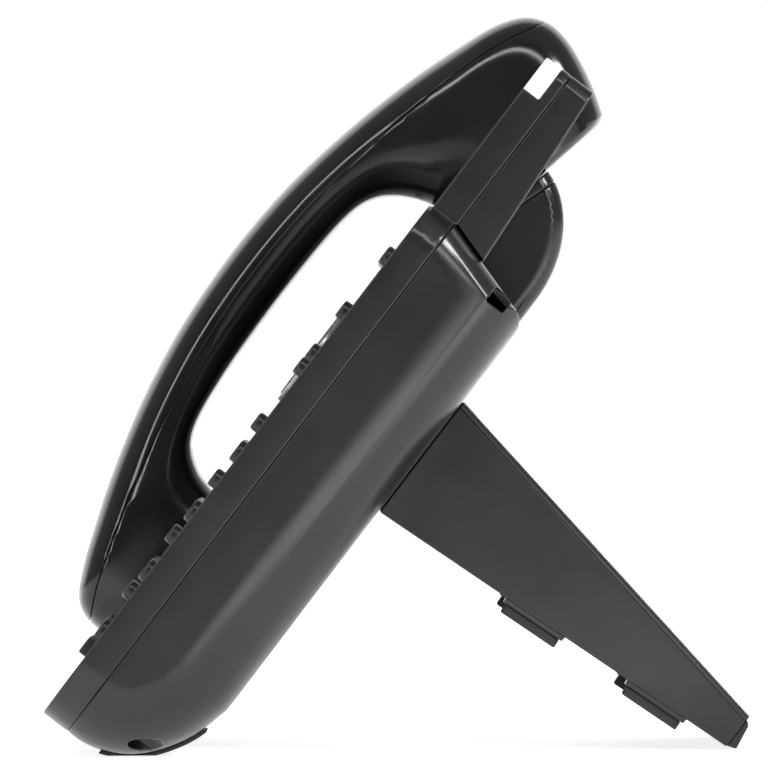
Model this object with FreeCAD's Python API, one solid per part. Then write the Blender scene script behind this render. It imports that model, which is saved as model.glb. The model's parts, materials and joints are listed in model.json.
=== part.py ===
import FreeCAD, Part
import math
import os

# A desk telephone that leans back on a plug-in stand, with its handset in the cradle.
# All sizes are millimetres. The pieces are drawn lying flat: X runs to the user's right,
# Y runs up the face from its lower edge, and Z points out of the face, which is Z = 0.
# set_down() then leans the telephone back until its feet and the stand's tip touch the desk.

# ---- base: overall
BODY_WIDTH = 206.0
FACE_LENGTH = 166.7
BODY_DEPTH = 38.0
SEAM_DEPTH = 8.2          # front cover's depth below the face
WALL = 2.2
FACE_PLATE = 2.5
SIDE_ROUND = 18.0         # between the side walls and the back, and on round the toe
END_ROUND = 10.0          # between the right-hand wall and the top end
END_CORNER = 5.0          # between the top end and the back
HUMP_ROUND = 4.5          # right-hand edge of the hump
TOE_LENGTH = 34.3         # rounded lower rear corner, measured up the face
TOE_TOP = 10.0            # depth at which that corner starts
END_SLANT = 0.306         # how fast the top end falls away towards the back
LOBE_LENGTH = 31.0        # rounded hump behind the ear cup
LOBE_START = 165.5
LOBE_TOP_DEPTH = 13.7
LOBE_SEAM_ANGLE = -21.0   # where the seam ends on the hump, in degrees from +Y
SEAT_DROP_START = 150.0   # where the cradle's seam starts to fall towards the ear seat
EAR_WALL_TOP = 5.6        # from the ear face back to the top and the foot of the wall behind the land
EAR_WALL_FOOT = 2.4

# ---- display head
HEAD_RISE = 49.3
HEAD_RIGHT_INSET = 8.0
HEAD_LEFT_INSET = 10.0
HEAD_SET_BACK = 1.0
HEAD_SEAM_STEP = 0.8      # the head's seam lies this much deeper than the cover's
HEAD_ROOT_DEPTH = 20.1
HEAD_TIP_DEPTH = 16.3
HEAD_CORNER = 4.0
HEAD_WALL = 2.0
HEAD_GAP = 0.5            # between the head's rear cover and the top end of the base
BEZEL_SIDE = 9.0
BEZEL_BOTTOM = 5.8
BEZEL_TOP = 12.5
WINDOW_THICKNESS = 1.4
WINDOW_LAP = 3.5          # width of the ledge that the window sits on
PANEL_THICKNESS = 3.8
LAMP_WIDTH = 22.0
LAMP_LENGTH = 10.3
LAMP_DEPTH = 5.0
CABLE_WIDTH = 24.0
CABLE_THICKNESS = 0.4
CABLE_CLEAR = 1.0
CABLE_LAP = 2.0           # over the key board
CABLE_BEND = 3.0          # length of its slope up to the display panel
CABLE_TAIL = 10.0         # behind the panel
WINDOW_SUNK = 0.2         # window below the bezel

# ---- keys
KEY_GAP = 0.35            # round each cap in its hole
KEY_TRAVEL = 0.8
KEY_FLANGE = 1.0
KEY_FLANGE_CLEAR = 0.4    # between flange and cover, and between flange and mat at full travel
KEY_ROUNDNESS = 0.42      # corner radius of a key as a share of its length
FINGER_RADIUS = 24.0      # of the hollow in a dial key
FINGER_DEPTH = 0.5
DIAL_KEY = (15.0, 6.5, 2.0)          # width, length, height above the face
SIDE_KEY = (14.0, 5.2, 2.3)
SOFT_KEY = (17.0, 5.5, 1.9)
VOLUME_BAR = (24.0, 5.0, 2.3)
DIAL_PITCH_X = 25.0
DIAL_PITCH_Y = 19.8
DIAL_FIRST_ROW = 25.4
DIAL_CENTRE_FROM_CRADLE = 52.0
SIDE_PITCH = 18.4
SIDE_FIRST_ROW = 20.9
SIDE_FROM_RIGHT = 25.0
SOFT_FROM_TOP = 17.2
SOFT_PITCH = 26.0
NAV_FROM_TOP = 49.2
NAV_RADIUS = 15.6
NAV_RING = 1.4            # width of the trim ring
NAV_HEIGHT = 1.8
OK_RADIUS = 6.4
NAV_SPLIT = 0.7           # gap between neighbouring navigation keys
FLANK_OFFSET = 37.0       # message and conference keys either side of the navigation keys
CONFERENCE_SHIFT = 5.0    # the conference key stands this much nearer
NAV_DROP = 0.4            # trim ring and middle key below the navigation keys
ROCKER_END_GAP = 0.7
ROCKER_DIP = 0.8          # how far its ends clear the mat
ROCKER_FLANGE_INSET = 6.0 # the flange is short enough to stay under the cover as the bar tilts
MAT_THICKNESS = 1.2
MAT_EDGE = 5.0            # past the soft keys
PAD_INSET = 1.0           # the mat's pads are this much smaller than the keys
ROCKER_PAD = 4.0
BOARD_THICKNESS = 1.6
BOARD_LOW = 16.0
BOARD_INSET_LEFT = 6.0    # from the cradle
BOARD_INSET_RIGHT = 17.0  # from the right-hand wall
BOARD_INSET_TOP = 9.0

# ---- handset
HANDSET_HALF_WIDTH = 25.0
HANDSET_HANDLE_HALF = 21.0
HANDSET_WALL = 2.0
HANDSET_SIDE_MARGIN = 7.5 # from the ear and mouth cups to the key area
CRADLE_SIDE = 7.5         # and from the cups to the left-hand wall
CRADLE_CLEAR = 0.5        # round the handset in the cradle
SECTION_FLAT = 0.3        # straight length left between two rounded corners of a section
POCKET_RADIUS = 11.6
POCKET_EXTRA = 0.4        # more room at the pocket's two ends
MOUTH_START = 21.4
MOUTH_END = 70.4
MOUTH_FACE_DEPTH = 8.1
EAR_FACE_START = 173.0
EAR_FACE_DEPTH = 13.0
EAR_FACE_END = 215.5
EAR_FACE_END_DEPTH = 23.7
RECEIVER_RADIUS = 15.0
RECEIVER_THICKNESS = 7.0
MICROPHONE_RADIUS = 4.5
MICROPHONE_THICKNESS = 3.5
WEIGHT_SIZE = (24.0, 44.0, 4.4)
PLUG_SIZE = (10.0, 11.0, 8.0)         # modular jack body in the handset
PLUG_HOLE = (7.8, 6.4)
PLUG_FLOOR = 0.8
PLUG_BACK = 1.0
JACK_BOTTOM = -5.2        # height of the handset's jack at rest
JACK_SETBACK = 1.4
HANDSET_POSTS = (62.0, 178.0)        # how far up the face the handset's two screws are
HANDSET_POST_TOP = 8.0
HANDSET_POST_RADIUS = 3.4
HANDSET_TUBE_RADIUS = 4.4
HANDSET_SCREW_SEAT = 6.0  # of the screw head below the top of its tube
HANDSET_THREAD = 7.0
WEIGHT_AT = 123.0
WEIGHT_BOTTOM = 20.8
WEIGHT_CORNER = 3.0
WEIGHT_RESTS = 14.0       # either side of its middle
REST_THICKNESS = 2.4
REST_INSET = 2.0
EAR_HOLES = 6
EAR_HOLE_RING = 7.0
EAR_HOLE_RADIUS = 0.9
MOUTH_HOLE_RADIUS = 1.0
RECEIVER_SHIFT = 4.0      # from the middle of the ear face towards its outer end
RECEIVER_CAP = (9.0, 2.0) # radius and thickness of its magnet

# ---- cradle hardware
PLUNGER_SIZE = (8.0, 5.0)
PLUNGER_TRAVEL = 3.5
PLUNGER_AT = 178.0
PLUNGER_FLANGE = 1.2
PLUNGER_CLEAR = 0.2       # under the ear cup at rest
PLUNGER_SHOULDER = (2.0, 1.5)        # its flange past the stem, across and along
SWITCH_SIZE = (12.0, 8.0)
SWITCH_HEIGHT = 5.0
SWITCH_BUTTON = (3.0, 2.4, 1.0)
SHELF_SIZE = (16.0, 10.0)
TAB_SIZE = (12.0, 3.0, 8.0)
TAB_TRAVEL = 6.0
TAB_AT = 158.0
TAB_SLIDE_FIT = 0.3
TAB_LIP = (1.5, 1.6)      # how far the lip reaches out, and its thickness
TAB_SUNK = 0.4            # the tab's end below the face
TAB_GUIDE = 2.0
GRILLE_SLOT = (1.8, 26.0)
GRILLE_PITCH = 4.2
GRILLE_SLOTS = 7
SPEAKER_RADIUS = 20.0
SPEAKER_DEPTH = 12.0
SPEAKER_AT = 116.0
SPEAKER_RIM = 2.0
SPEAKER_CONE = 5.0
MAGNET_RADIUS = 11.0
BASE_MICROPHONE_RADIUS = 3.0
BASE_MICROPHONE_DEPTH = 2.5
BASE_MICROPHONE_HOLE = 0.8
BASE_MICROPHONE_DROP = 8.0           # below the key board

# ---- back of the base
BAY_WIDTH = 80.0
BAY_START = 50.0
BAY_END = 84.0
BAY_DEPTH = 14.0
NETWORK_JACK = (16.0, 16.0, 13.2)
NETWORK_HOLE = (11.8, 8.2)
CORD_JACK = (11.2, 14.0, 11.0)
CORD_HOLE = (7.8, 6.4)
JACK_SOCKET_DEPTH = 11.0
JACK_GAP = 2.6
SCREW_INSET_X = 10.0      # the lower two, from the side walls
SCREW_LOW = 9.9
SCREW_HIGH = 138.0        # the upper two stand further in, between the keys and left of them
SCREW_HIGH_LEFT = 8.0     # left of the key side
SCREW_HIGH_RIGHT = 43.0   # in from the right-hand wall
SCREW_SHANK = 1.4
SCREW_HEAD = 2.7
SCREW_HEAD_HEIGHT = 2.0
CROSS_SLOT = (3.4, 0.9, 1.0)         # length, width and depth of the driver's slots
SCREW_SEAT_DEPTH = 14.0
POST_RADIUS = 4.6
COVER_POST_RADIUS = 4.2
POST_GAP = 0.5            # round a post that passes through a board
SCREW_BITE = 4.2          # how far the screws reach into the front cover
SCREW_FIT = 0.3           # round a screw's head
SCREW_SLIP = 0.1          # round its shank
BOARD_POST_RADIUS = 2.5
BOARD_POST_INSET = 5.0
BOARD_POST_RISE = 22.0    # from the board's lower edge up to its lower posts
MAIN_BOARD_LENGTH = 62.0  # above the bay
JACK_BOARD_LIFT = 3.0     # the main board's top above the bay's ceiling
JACK_FLOOR = 1.2          # under a jack's socket
FOOT_WIDTH = 26.0
FOOT_FROM_SIDE = 18.0
FOOT_END = 22.0
FOOT_PROUD = 1.1
FOOT_DROP = 8.0           # its upper end below the start of the rounded toe
FOOT_CONTACT = 0.4        # how far the shell stays above the desk
SECURITY_SLOT = (4.5, 5.4)
SECURITY_SLOT_AT = (155.7, 26.8)
SECURITY_SLOT_DEPTH = 10.0

# ---- stand
STAND_WIDTH = 122.0
STAND_LOW = 94.8          # where its lower edge leaves the base
STAND_HIGH = 131.5
STAND_TIP_LOW = 101.1
STAND_TIP_HIGH = 111.2
STAND_DEPTH = 148.7       # depth of its tip below the face
STAND_GAP = 0.4           # between the stand and the base
STAND_WALL = 2.0
STAND_PLATE = 1.8
STAND_PLATE_LIP = 1.0     # how far the back plate stands past the side walls
STAND_RIBS = 4            # bays between its cross ribs
STAND_RIB = 1.6
STAND_TIP_BLOCK = 6.0
TIP_PAD = 2.4
TIP_PAD_SLOPE = 1.1       # how far the pad's sides draw in
HOOK_AT = 48.0
HOOK_NECK = (8.0, 6.0)
HOOK_HEAD = (13.0, 6.0, 2.2)
STAND_TRAVEL = 8.0
HOOK_SLOT_GAP = 0.4
STAND_FOOT = (10.0, 17.0, 2.6)
STAND_PLINTH = 1.4
PLINTH_EDGE = 0.8         # plinth past its foot
STAND_FOOT_DEPTHS = (88.0, 126.6)
STAND_FOOT_INSET = 1.5

# ---- drawing aids
PAST = 1.0                # how far a cutting shape reaches past the face that it cuts
FAR = 40.0                # how far a limiting shape runs past the telephone
CLOSE = 0.01              # nearer than this counts as the same place
LEAN_STEPS = 60
LEAST_LEAN = 30.0         # degrees
MOST_LEAN = 75.0

# ---- worked out from the sizes above
RIGHT = BODY_WIDTH / 2
LEFT = -RIGHT
CRADLE_WIDTH = CRADLE_SIDE + 2 * HANDSET_HALF_WIDTH + HANDSET_SIDE_MARGIN
KEYS_LEFT = LEFT + CRADLE_WIDTH
HANDSET_X = KEYS_LEFT - HANDSET_SIDE_MARGIN - HANDSET_HALF_WIDTH
HEAD_LEFT = KEYS_LEFT + HEAD_LEFT_INSET
HEAD_RIGHT = RIGHT - HEAD_RIGHT_INSET
HEAD_END = FACE_LENGTH + HEAD_RISE
HEAD_SEAM_DEPTH = SEAM_DEPTH + HEAD_SEAM_STEP
TOE_DEPTH = BODY_DEPTH - TOE_TOP
LOBE_DEPTH = BODY_DEPTH - LOBE_TOP_DEPTH
EAR_SLOPE = (EAR_FACE_END_DEPTH - EAR_FACE_DEPTH) / (EAR_FACE_END - EAR_FACE_START)
FLANGE_TOP = -FACE_PLATE - KEY_FLANGE_CLEAR
FLANGE_BOTTOM = FLANGE_TOP - KEY_FLANGE
MAT_TOP = FLANGE_BOTTOM - KEY_TRAVEL - KEY_FLANGE_CLEAR
MAT_BOTTOM = MAT_TOP - MAT_THICKNESS
BOARD_BOTTOM = MAT_BOTTOM - BOARD_THICKNESS
BOARD_LEFT = KEYS_LEFT + BOARD_INSET_LEFT
BOARD_RIGHT = RIGHT - BOARD_INSET_RIGHT
BOARD_HIGH = FACE_LENGTH - BOARD_INSET_TOP
DIAL_X = KEYS_LEFT + DIAL_CENTRE_FROM_CRADLE
SIDE_X = RIGHT - SIDE_FROM_RIGHT
SOFT_Y = FACE_LENGTH - SOFT_FROM_TOP
SOFT_X = (HEAD_LEFT + HEAD_RIGHT) / 2
NAV_X = DIAL_X
NAV_Y = FACE_LENGTH - NAV_FROM_TOP
JACK_BOARD_TOP = -BODY_DEPTH + BAY_DEPTH + JACK_BOARD_LIFT


def vector(x, y, z):
    return FreeCAD.Vector(x, y, z)


def box(x0, x1, y0, y1, z0, z1):
    return Part.makeBox(x1 - x0, y1 - y0, z1 - z0, vector(x0, y0, z0))


def centred_box(x, y, size_x, size_y, z0, z1):
    return box(x - size_x / 2, x + size_x / 2, y - size_y / 2, y + size_y / 2, z0, z1)


def upright_edges(solid, corners):
    """Edges along Z that stand at the given (x, y) corners."""
    found = []
    for edge in solid.Edges:
        a, b = edge.Vertexes[0].Point, edge.Vertexes[-1].Point
        if math.hypot(a.x - b.x, a.y - b.y) > CLOSE:
            continue
        if any(math.hypot(a.x - x, a.y - y) < CLOSE for x, y in corners):
            found.append(edge)
    return found


def plan_box(x0, x1, y0, y1, z0, z1, radius, corners=None):
    """A box with rounded upright corners: all four, or the named ones."""
    solid = box(x0, x1, y0, y1, z0, z1)
    corners = corners or [(x0, y0), (x1, y0), (x1, y1), (x0, y1)]
    return solid.makeFillet(radius, upright_edges(solid, corners))


def rounded_block(x, y, size_x, size_y, z0, z1, radius):
    return plan_box(x - size_x / 2, x + size_x / 2, y - size_y / 2, y + size_y / 2, z0, z1, radius)


def cylinder(x, y, z0, z1, radius):
    return Part.makeCylinder(radius, z1 - z0, vector(x, y, z0))


def lines(points):
    """Straight edges through points of the side view, each (y, z)."""
    ends = [vector(0, y, z) for y, z in points]
    return [Part.makeLine(a, b) for a, b in zip(ends, ends[1:])]


def spline(points, start=None, end=None):
    """A smooth edge through points of the side view, with given end directions if any."""
    curve = Part.BSplineCurve()
    through = [vector(0, y, z) for y, z in points]
    if start:
        curve.interpolate(Points=through, InitialTangent=vector(0, *start), FinalTangent=vector(0, *end))
    else:
        curve.interpolate(through)
    return curve.toShape()


def elliptic(centre, semi, begin, finish, steps=8):
    """Part of an ellipse in the side view, between two angles in degrees from +Y towards +Z."""
    points, ends = [], []
    for i in range(steps + 1):
        a = math.radians(begin + (finish - begin) * i / steps)
        points.append((centre[0] + semi[0] * math.cos(a), centre[1] + semi[1] * math.sin(a)))
    turn = 1.0 if finish > begin else -1.0
    for angle in (begin, finish):
        a = math.radians(angle)
        ends.append((-turn * semi[0] * math.sin(a), turn * semi[1] * math.cos(a)))
    return spline(points, ends[0], ends[1])


def side_solid(edges, x0, x1):
    """A closed outline of the side view, drawn out from x0 to x1."""
    face = Part.Face(Part.Wire(Part.__sortEdges__(edges)))
    solid = face.extrude(vector(x1 - x0, 0, 0))
    solid.translate(vector(x0, 0, 0))
    return solid


def polygon_solid(points, x0, x1):
    return side_solid(lines(points + [points[0]]), x0, x1)


def fuse(first, *others):
    return first.fuse(list(others)).removeSplitter()


def seam_left(y):
    """Height of the cradle side's seam, which falls towards the ear seat."""
    end_y, end_z = lobe_seam_end()
    drop = max(0.0, y - SEAT_DROP_START) * (end_z + SEAM_DEPTH)
    return -SEAM_DEPTH + drop / (end_y - SEAT_DROP_START)


def ear_seat(y):
    """Height of the seat under the ear cup."""
    return -EAR_FACE_DEPTH - EAR_SLOPE * (y - EAR_FACE_START) - CRADLE_CLEAR


def lobe_seam_end():
    a = math.radians(LOBE_SEAM_ANGLE)
    y = LOBE_START + LOBE_LENGTH * math.cos(a)
    return y, -LOBE_TOP_DEPTH + LOBE_DEPTH * math.sin(a)


# ---- outer form of the base

def toe_edge(inset):
    centre = (TOE_LENGTH, -TOE_TOP)
    return elliptic(centre, (TOE_LENGTH - inset, TOE_DEPTH - inset), 180, 270)


def end_y(z):
    """Where the slanted top end of the base lies at height z."""
    return FACE_LENGTH - END_SLANT * (-SEAM_DEPTH - z)


def wall_edges(solid, x, low, high, top):
    """Edges of the outline on the side wall at x, between two values of Y and below top."""
    found = []
    for edge in solid.Edges:
        if any(abs(vertex.Point.x - x) > CLOSE for vertex in edge.Vertexes):
            continue
        middle = edge.valueAt((edge.FirstParameter + edge.LastParameter) / 2)
        if low < middle.y < high and middle.z < top - CLOSE:
            found.append(edge)
    return found


def long_part(inset, top, beyond):
    """The toe and the back of the right-hand part, its side rounded, running on past the top end."""
    floor = -BODY_DEPTH + inset
    x = RIGHT - inset
    edges = [toe_edge(inset)]
    edges += lines([
        (TOE_LENGTH, floor), (beyond, floor), (beyond, top), (inset, top), (inset, -TOE_TOP),
    ])
    solid = side_solid(edges, KEYS_LEFT, x)
    return solid.makeFillet(SIDE_ROUND - inset, wall_edges(solid, x, -PAST, beyond - PAST, top))


def end_part(inset, top, before):
    """The slanted top end of the right-hand part with its rounded edges."""
    floor = -BODY_DEPTH + inset
    x = RIGHT - inset
    end_inset = inset * math.hypot(1, END_SLANT)
    low_end = end_y(floor) - end_inset
    solid = polygon_solid(
        [(before, top), (before, floor), (low_end, floor), (end_y(top) - end_inset, top)], KEYS_LEFT, x,
    )
    corner = []
    for edge in solid.Edges:
        if all(abs(v.Point.y - low_end) < CLOSE and abs(v.Point.z - floor) < CLOSE for v in edge.Vertexes):
            corner.append(edge)
    solid = solid.makeFillet(END_CORNER - inset / 2, corner)
    return solid.makeFillet(END_ROUND - inset, wall_edges(solid, x, before + PAST, FACE_LENGTH + PAST, top))


def keys_form(inset, top):
    """The base's right-hand part, solid, drawn in by inset and reaching up to top."""
    return long_part(inset, top, FACE_LENGTH + FAR).common(end_part(inset, top, -FAR))


def cradle_form(inset):
    """The base's left-hand part with the hump, solid, from the back up to the face."""
    floor = -BODY_DEPTH + inset
    end = LOBE_START + LOBE_LENGTH - inset
    semi = (LOBE_LENGTH - inset, LOBE_DEPTH - inset)
    edges = [toe_edge(inset), elliptic((LOBE_START, -LOBE_TOP_DEPTH), semi, -90, 0)]
    edges += lines([(TOE_LENGTH, floor), (LOBE_START, floor)])
    edges += lines([(end, -LOBE_TOP_DEPTH), (end, 0), (inset, 0), (inset, -TOE_TOP)])
    x0, x1 = LEFT + inset, KEYS_LEFT - inset
    solid = side_solid(edges, x0, x1)
    solid = solid.makeFillet(SIDE_ROUND - inset, wall_edges(solid, x0, -PAST, end + PAST, 0))
    hump = solid.makeFillet(HUMP_ROUND - inset, wall_edges(solid, x1, -PAST, end + PAST, 0))
    split = end_y(-BODY_DEPTH) - END_CORNER
    below = box(x0 - PAST, x1 + PAST, -PAST, split, -BODY_DEPTH, 0)
    above = box(x0 - PAST, x1 + PAST, split, end + PAST, -BODY_DEPTH, 0)
    return fuse(solid.common(below), hump.common(above))


def below_seam():
    """Everything behind the cradle side's seam."""
    far = LOBE_START + 2 * LOBE_LENGTH
    points = [
        (-PAST, -SEAM_DEPTH), (SEAT_DROP_START, -SEAM_DEPTH), (far, seam_left(far)),
        (far, -2 * BODY_DEPTH), (-PAST, -2 * BODY_DEPTH),
    ]
    return polygon_solid(points, LEFT - PAST, KEYS_LEFT + PAST)


def flat_top(solid, z):
    """The flat face of a solid at height z."""
    for face in solid.Faces:
        bounds = face.BoundBox
        if abs(bounds.ZMin - z) < CLOSE and abs(bounds.ZMax - z) < CLOSE:
            return face
    raise ValueError("no flat face at " + str(z))


# ---- rear shell

def screw_places():
    """(x, y) of the four screws that hold the shell to the front cover."""
    return [
        (LEFT + SCREW_INSET_X, SCREW_LOW),
        (RIGHT - SCREW_INSET_X, SCREW_LOW),
        (KEYS_LEFT - SCREW_HIGH_LEFT, SCREW_HIGH),
        (RIGHT - SCREW_HIGH_RIGHT, SCREW_HIGH),
    ]


def post_holes(z0, z1):
    """Room for the screw posts through the boards and the mat."""
    return fuse(*[cylinder(x, y, z0, z1, POST_RADIUS + POST_GAP) for x, y in screw_places()])


def hook_slots():
    """Keyhole slots for the stand's hooks: narrow where the neck rests, wide where the head goes in."""
    y = (STAND_LOW + STAND_HIGH) / 2
    through = (-BODY_DEPTH - PAST, -BODY_DEPTH + WALL + PAST / 10)
    cuts = []
    for x in (-HOOK_AT, HOOK_AT):
        narrow_top = y + HOOK_NECK[1] / 2 + HOOK_SLOT_GAP
        wide_top = y - HOOK_NECK[1] / 2 - HOOK_SLOT_GAP
        wide_bottom = wide_top - STAND_TRAVEL - HOOK_HEAD[1] + HOOK_NECK[1]
        half_neck = HOOK_NECK[0] / 2 + HOOK_SLOT_GAP
        half_head = HOOK_HEAD[0] / 2 + HOOK_SLOT_GAP
        cuts.append(box(x - half_neck, x + half_neck, wide_top - PAST / 2, narrow_top, *through))
        cuts.append(box(x - half_head, x + half_head, wide_bottom, wide_top, *through))
    return cuts


def jack_layout():
    """(kind, x centre, size, hole) of the four jacks along the top wall of the cable bay."""
    total = 2 * NETWORK_JACK[0] + 2 * CORD_JACK[0] + 3 * JACK_GAP
    x = -total / 2
    jacks = []
    for kind, size, hole in (
        ("network", NETWORK_JACK, NETWORK_HOLE),
        ("network", NETWORK_JACK, NETWORK_HOLE),
        ("cord", CORD_JACK, CORD_HOLE),
        ("cord", CORD_JACK, CORD_HOLE),
    ):
        jacks.append((kind, x + size[0] / 2, size, hole))
        x += size[0] + JACK_GAP
    return jacks


def jack_body(x, size):
    top = JACK_BOARD_TOP - BOARD_THICKNESS
    return box(x - size[0] / 2, x + size[0] / 2, BAY_END, BAY_END + size[1], top - size[2], top)


def rear_shell():
    opened = -SEAM_DEPTH + PAST
    outer = fuse(keys_form(0, -SEAM_DEPTH), cradle_form(0).common(below_seam()))
    cavity = fuse(keys_form(WALL, opened), cradle_form(WALL), joining_cavity(opened))
    shell = outer.cut(cavity)
    additions = []
    for x, y in screw_places():
        post = cylinder(x, y, -BODY_DEPTH, -SEAM_DEPTH, POST_RADIUS)
        additions.append(post.common(outer))
    bay = box(
        -BAY_WIDTH / 2 - WALL, BAY_WIDTH / 2 + WALL, BAY_START - WALL, BAY_END + WALL,
        -BODY_DEPTH, -BODY_DEPTH + BAY_DEPTH + WALL,
    )
    additions.append(bay)
    for x, y in board_posts():
        additions.append(cylinder(x, y, -BODY_DEPTH + WALL / 2, BOARD_BOTTOM, BOARD_POST_RADIUS))
    for side in (-1, 1):
        x = side * (BAY_WIDTH / 2 - BOARD_POST_INSET)
        under = JACK_BOARD_TOP - BOARD_THICKNESS
        y = main_board_high() - BOARD_POST_INSET
        additions.append(cylinder(x, y, -BODY_DEPTH + WALL / 2, under, BOARD_POST_RADIUS))
    additions.append(switch_shelf())
    shell = fuse(shell, *additions)
    ceiling = -BODY_DEPTH + BAY_DEPTH
    cuts = [box(-BAY_WIDTH / 2, BAY_WIDTH / 2, BAY_START, BAY_END, -BODY_DEPTH - PAST, ceiling)]
    for x, y in screw_places():
        cuts.append(cylinder(x, y, -BODY_DEPTH - PAST, -SCREW_SEAT_DEPTH, SCREW_HEAD + SCREW_FIT))
        cuts.append(cylinder(x, y, -BODY_DEPTH, -SEAM_DEPTH + PAST, SCREW_SHANK + SCREW_SLIP))
    for _, x, size, _ in jack_layout():
        cuts.append(jack_body(x, size).fuse(box(
            x - size[0] / 2, x + size[0] / 2, BAY_END - PAST / 10, BAY_END + WALL + PAST / 10,
            jack_body(x, size).BoundBox.ZMin, jack_body(x, size).BoundBox.ZMax,
        )))
    cuts += hook_slots()
    slot_y, slot_z = SECURITY_SLOT_AT
    cuts.append(box(
        RIGHT - SECURITY_SLOT_DEPTH, RIGHT + PAST, slot_y, slot_y + SECURITY_SLOT[0],
        -slot_z - SECURITY_SLOT[1], -slot_z,
    ))
    return shell.cut(fuse(*cuts))


def joining_cavity(opened):
    """Opens the key side and the cradle side into one space."""
    floor = -BODY_DEPTH + WALL
    high = end_y(floor) - WALL * math.hypot(1, END_SLANT)
    return box(KEYS_LEFT - WALL - PAST, KEYS_LEFT + PAST, TOE_LENGTH, high, floor, opened)


def board_posts():
    """(x, y) of the posts that carry the key board."""
    return [
        (BOARD_LEFT + BOARD_POST_INSET, BOARD_LOW + BOARD_POST_RISE),
        (BOARD_RIGHT - BOARD_POST_INSET, BOARD_LOW + BOARD_POST_RISE),
        (BOARD_LEFT + BOARD_POST_INSET, BOARD_HIGH - BOARD_POST_INSET),
        (BOARD_RIGHT - BOARD_POST_INSET, BOARD_HIGH - BOARD_POST_INSET),
    ]


def switch_shelf():
    """A rib across the hump that the hook switch stands on."""
    top = plunger_bottom() - KEY_GAP - SWITCH_HEIGHT
    shelf = centred_box(HANDSET_X, PLUNGER_AT, SHELF_SIZE[0], SHELF_SIZE[1], -BODY_DEPTH, top)
    return shelf.common(cradle_form(0))


# ---- front cover

def cradle_cover():
    """Solid left-hand part of the front cover: land, ear recess and ear seat."""
    foot = EAR_FACE_START - EAR_WALL_FOOT
    far = LOBE_START + 2 * LOBE_LENGTH
    points = [
        (-PAST, -BODY_DEPTH), (-PAST, 0), (EAR_FACE_START - EAR_WALL_TOP, 0), (foot, ear_seat(foot)),
        (far, ear_seat(far)), (far, -BODY_DEPTH),
    ]
    return polygon_solid(points, LEFT, KEYS_LEFT).common(cradle_form(0)).cut(below_seam())


def cradle_hollow():
    """Space under the land of the cradle."""
    wall_y = EAR_FACE_START - EAR_WALL_TOP - WALL
    deep = -BODY_DEPTH
    slope = (EAR_WALL_TOP - EAR_WALL_FOOT) / -ear_seat(EAR_FACE_START - EAR_WALL_FOOT)
    points = [
        (0, deep), (0, -FACE_PLATE), (wall_y, -FACE_PLATE), (wall_y + slope * (-FACE_PLATE - deep), deep),
    ]
    space = polygon_solid(points, LEFT, KEYS_LEFT + PAST)
    joining = box(KEYS_LEFT - WALL - PAST, KEYS_LEFT + PAST, WALL, FACE_LENGTH, deep, 0)
    inside = fuse(cradle_form(WALL), joining)
    return space.common(inside)


def mouth_pocket(grow, z0, z1):
    """Rounded block round the mouth cup, grown sideways by grow."""
    reach = CRADLE_CLEAR + grow
    return plan_box(
        HANDSET_X - HANDSET_HALF_WIDTH - reach, HANDSET_X + HANDSET_HALF_WIDTH + reach,
        MOUTH_START - reach - POCKET_EXTRA, MOUTH_END + reach + POCKET_EXTRA, z0, z1, POCKET_RADIUS + grow,
    )


def key_table():
    """Every plain key: node name, x, y and size."""
    keys = []
    names = (("star", "0", "hash"), ("7", "8", "9"), ("4", "5", "6"), ("1", "2", "3"))
    for row, row_names in enumerate(names):
        for column, name in enumerate(row_names):
            x = DIAL_X + (column - 1) * DIAL_PITCH_X
            keys.append(("key_" + name, x, DIAL_FIRST_ROW + row * DIAL_PITCH_Y, DIAL_KEY))
    for row, name in enumerate(("speaker", "redial", "transfer", "hold", "mute", "headset")):
        keys.append((name + "_key", SIDE_X, SIDE_FIRST_ROW + (row + 1) * SIDE_PITCH, SIDE_KEY))
    for i in range(4):
        keys.append(("soft_key_" + str(i + 1), SOFT_X + (i - 1.5) * SOFT_PITCH, SOFT_Y, SOFT_KEY))
    keys.append(("message_key", NAV_X - FLANK_OFFSET, NAV_Y, SIDE_KEY))
    keys.append(("conference_key", NAV_X + FLANK_OFFSET - CONFERENCE_SHIFT, NAV_Y, SIDE_KEY))
    return keys


def key_corner(size):
    return size[1] * KEY_ROUNDNESS


def front_cover():
    right = flat_top(keys_form(0, -SEAM_DEPTH), -SEAM_DEPTH).extrude(vector(0, 0, SEAM_DEPTH))
    head = plan_box(
        HEAD_LEFT, HEAD_RIGHT, FACE_LENGTH - 2 * WALL, HEAD_END, -HEAD_SEAM_DEPTH, -HEAD_SET_BACK,
        HEAD_CORNER, [(HEAD_LEFT, HEAD_END), (HEAD_RIGHT, HEAD_END)],
    )
    head = head.cut(box(HEAD_LEFT, HEAD_RIGHT, 0, FACE_LENGTH, -HEAD_SEAM_DEPTH, -SEAM_DEPTH))
    cover = fuse(cradle_cover(), right, head)
    inside = flat_top(keys_form(WALL, -SEAM_DEPTH), -SEAM_DEPTH)
    hollow = inside.extrude(vector(0, 0, SEAM_DEPTH - FACE_PLATE))
    cover = cover.cut(fuse(hollow, cradle_hollow()))
    additions = [mouth_pocket(WALL, -MOUTH_FACE_DEPTH - CRADLE_CLEAR - WALL, -FACE_PLATE / 2)]
    for x, y in screw_places():
        additions.append(cylinder(x, y, -SEAM_DEPTH, -FACE_PLATE / 2, COVER_POST_RADIUS))
    for side in (-1, 1):
        guide_x = HANDSET_X + side * (TAB_SIZE[0] / 2 + TAB_SLIDE_FIT + TAB_GUIDE / 2)
        additions.append(centred_box(guide_x, TAB_AT, TAB_GUIDE, TAB_SIZE[1], -SEAM_DEPTH, -FACE_PLATE / 2))
    cover = fuse(cover, *additions)
    return cover.cut(fuse(*cover_cuts()))


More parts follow.
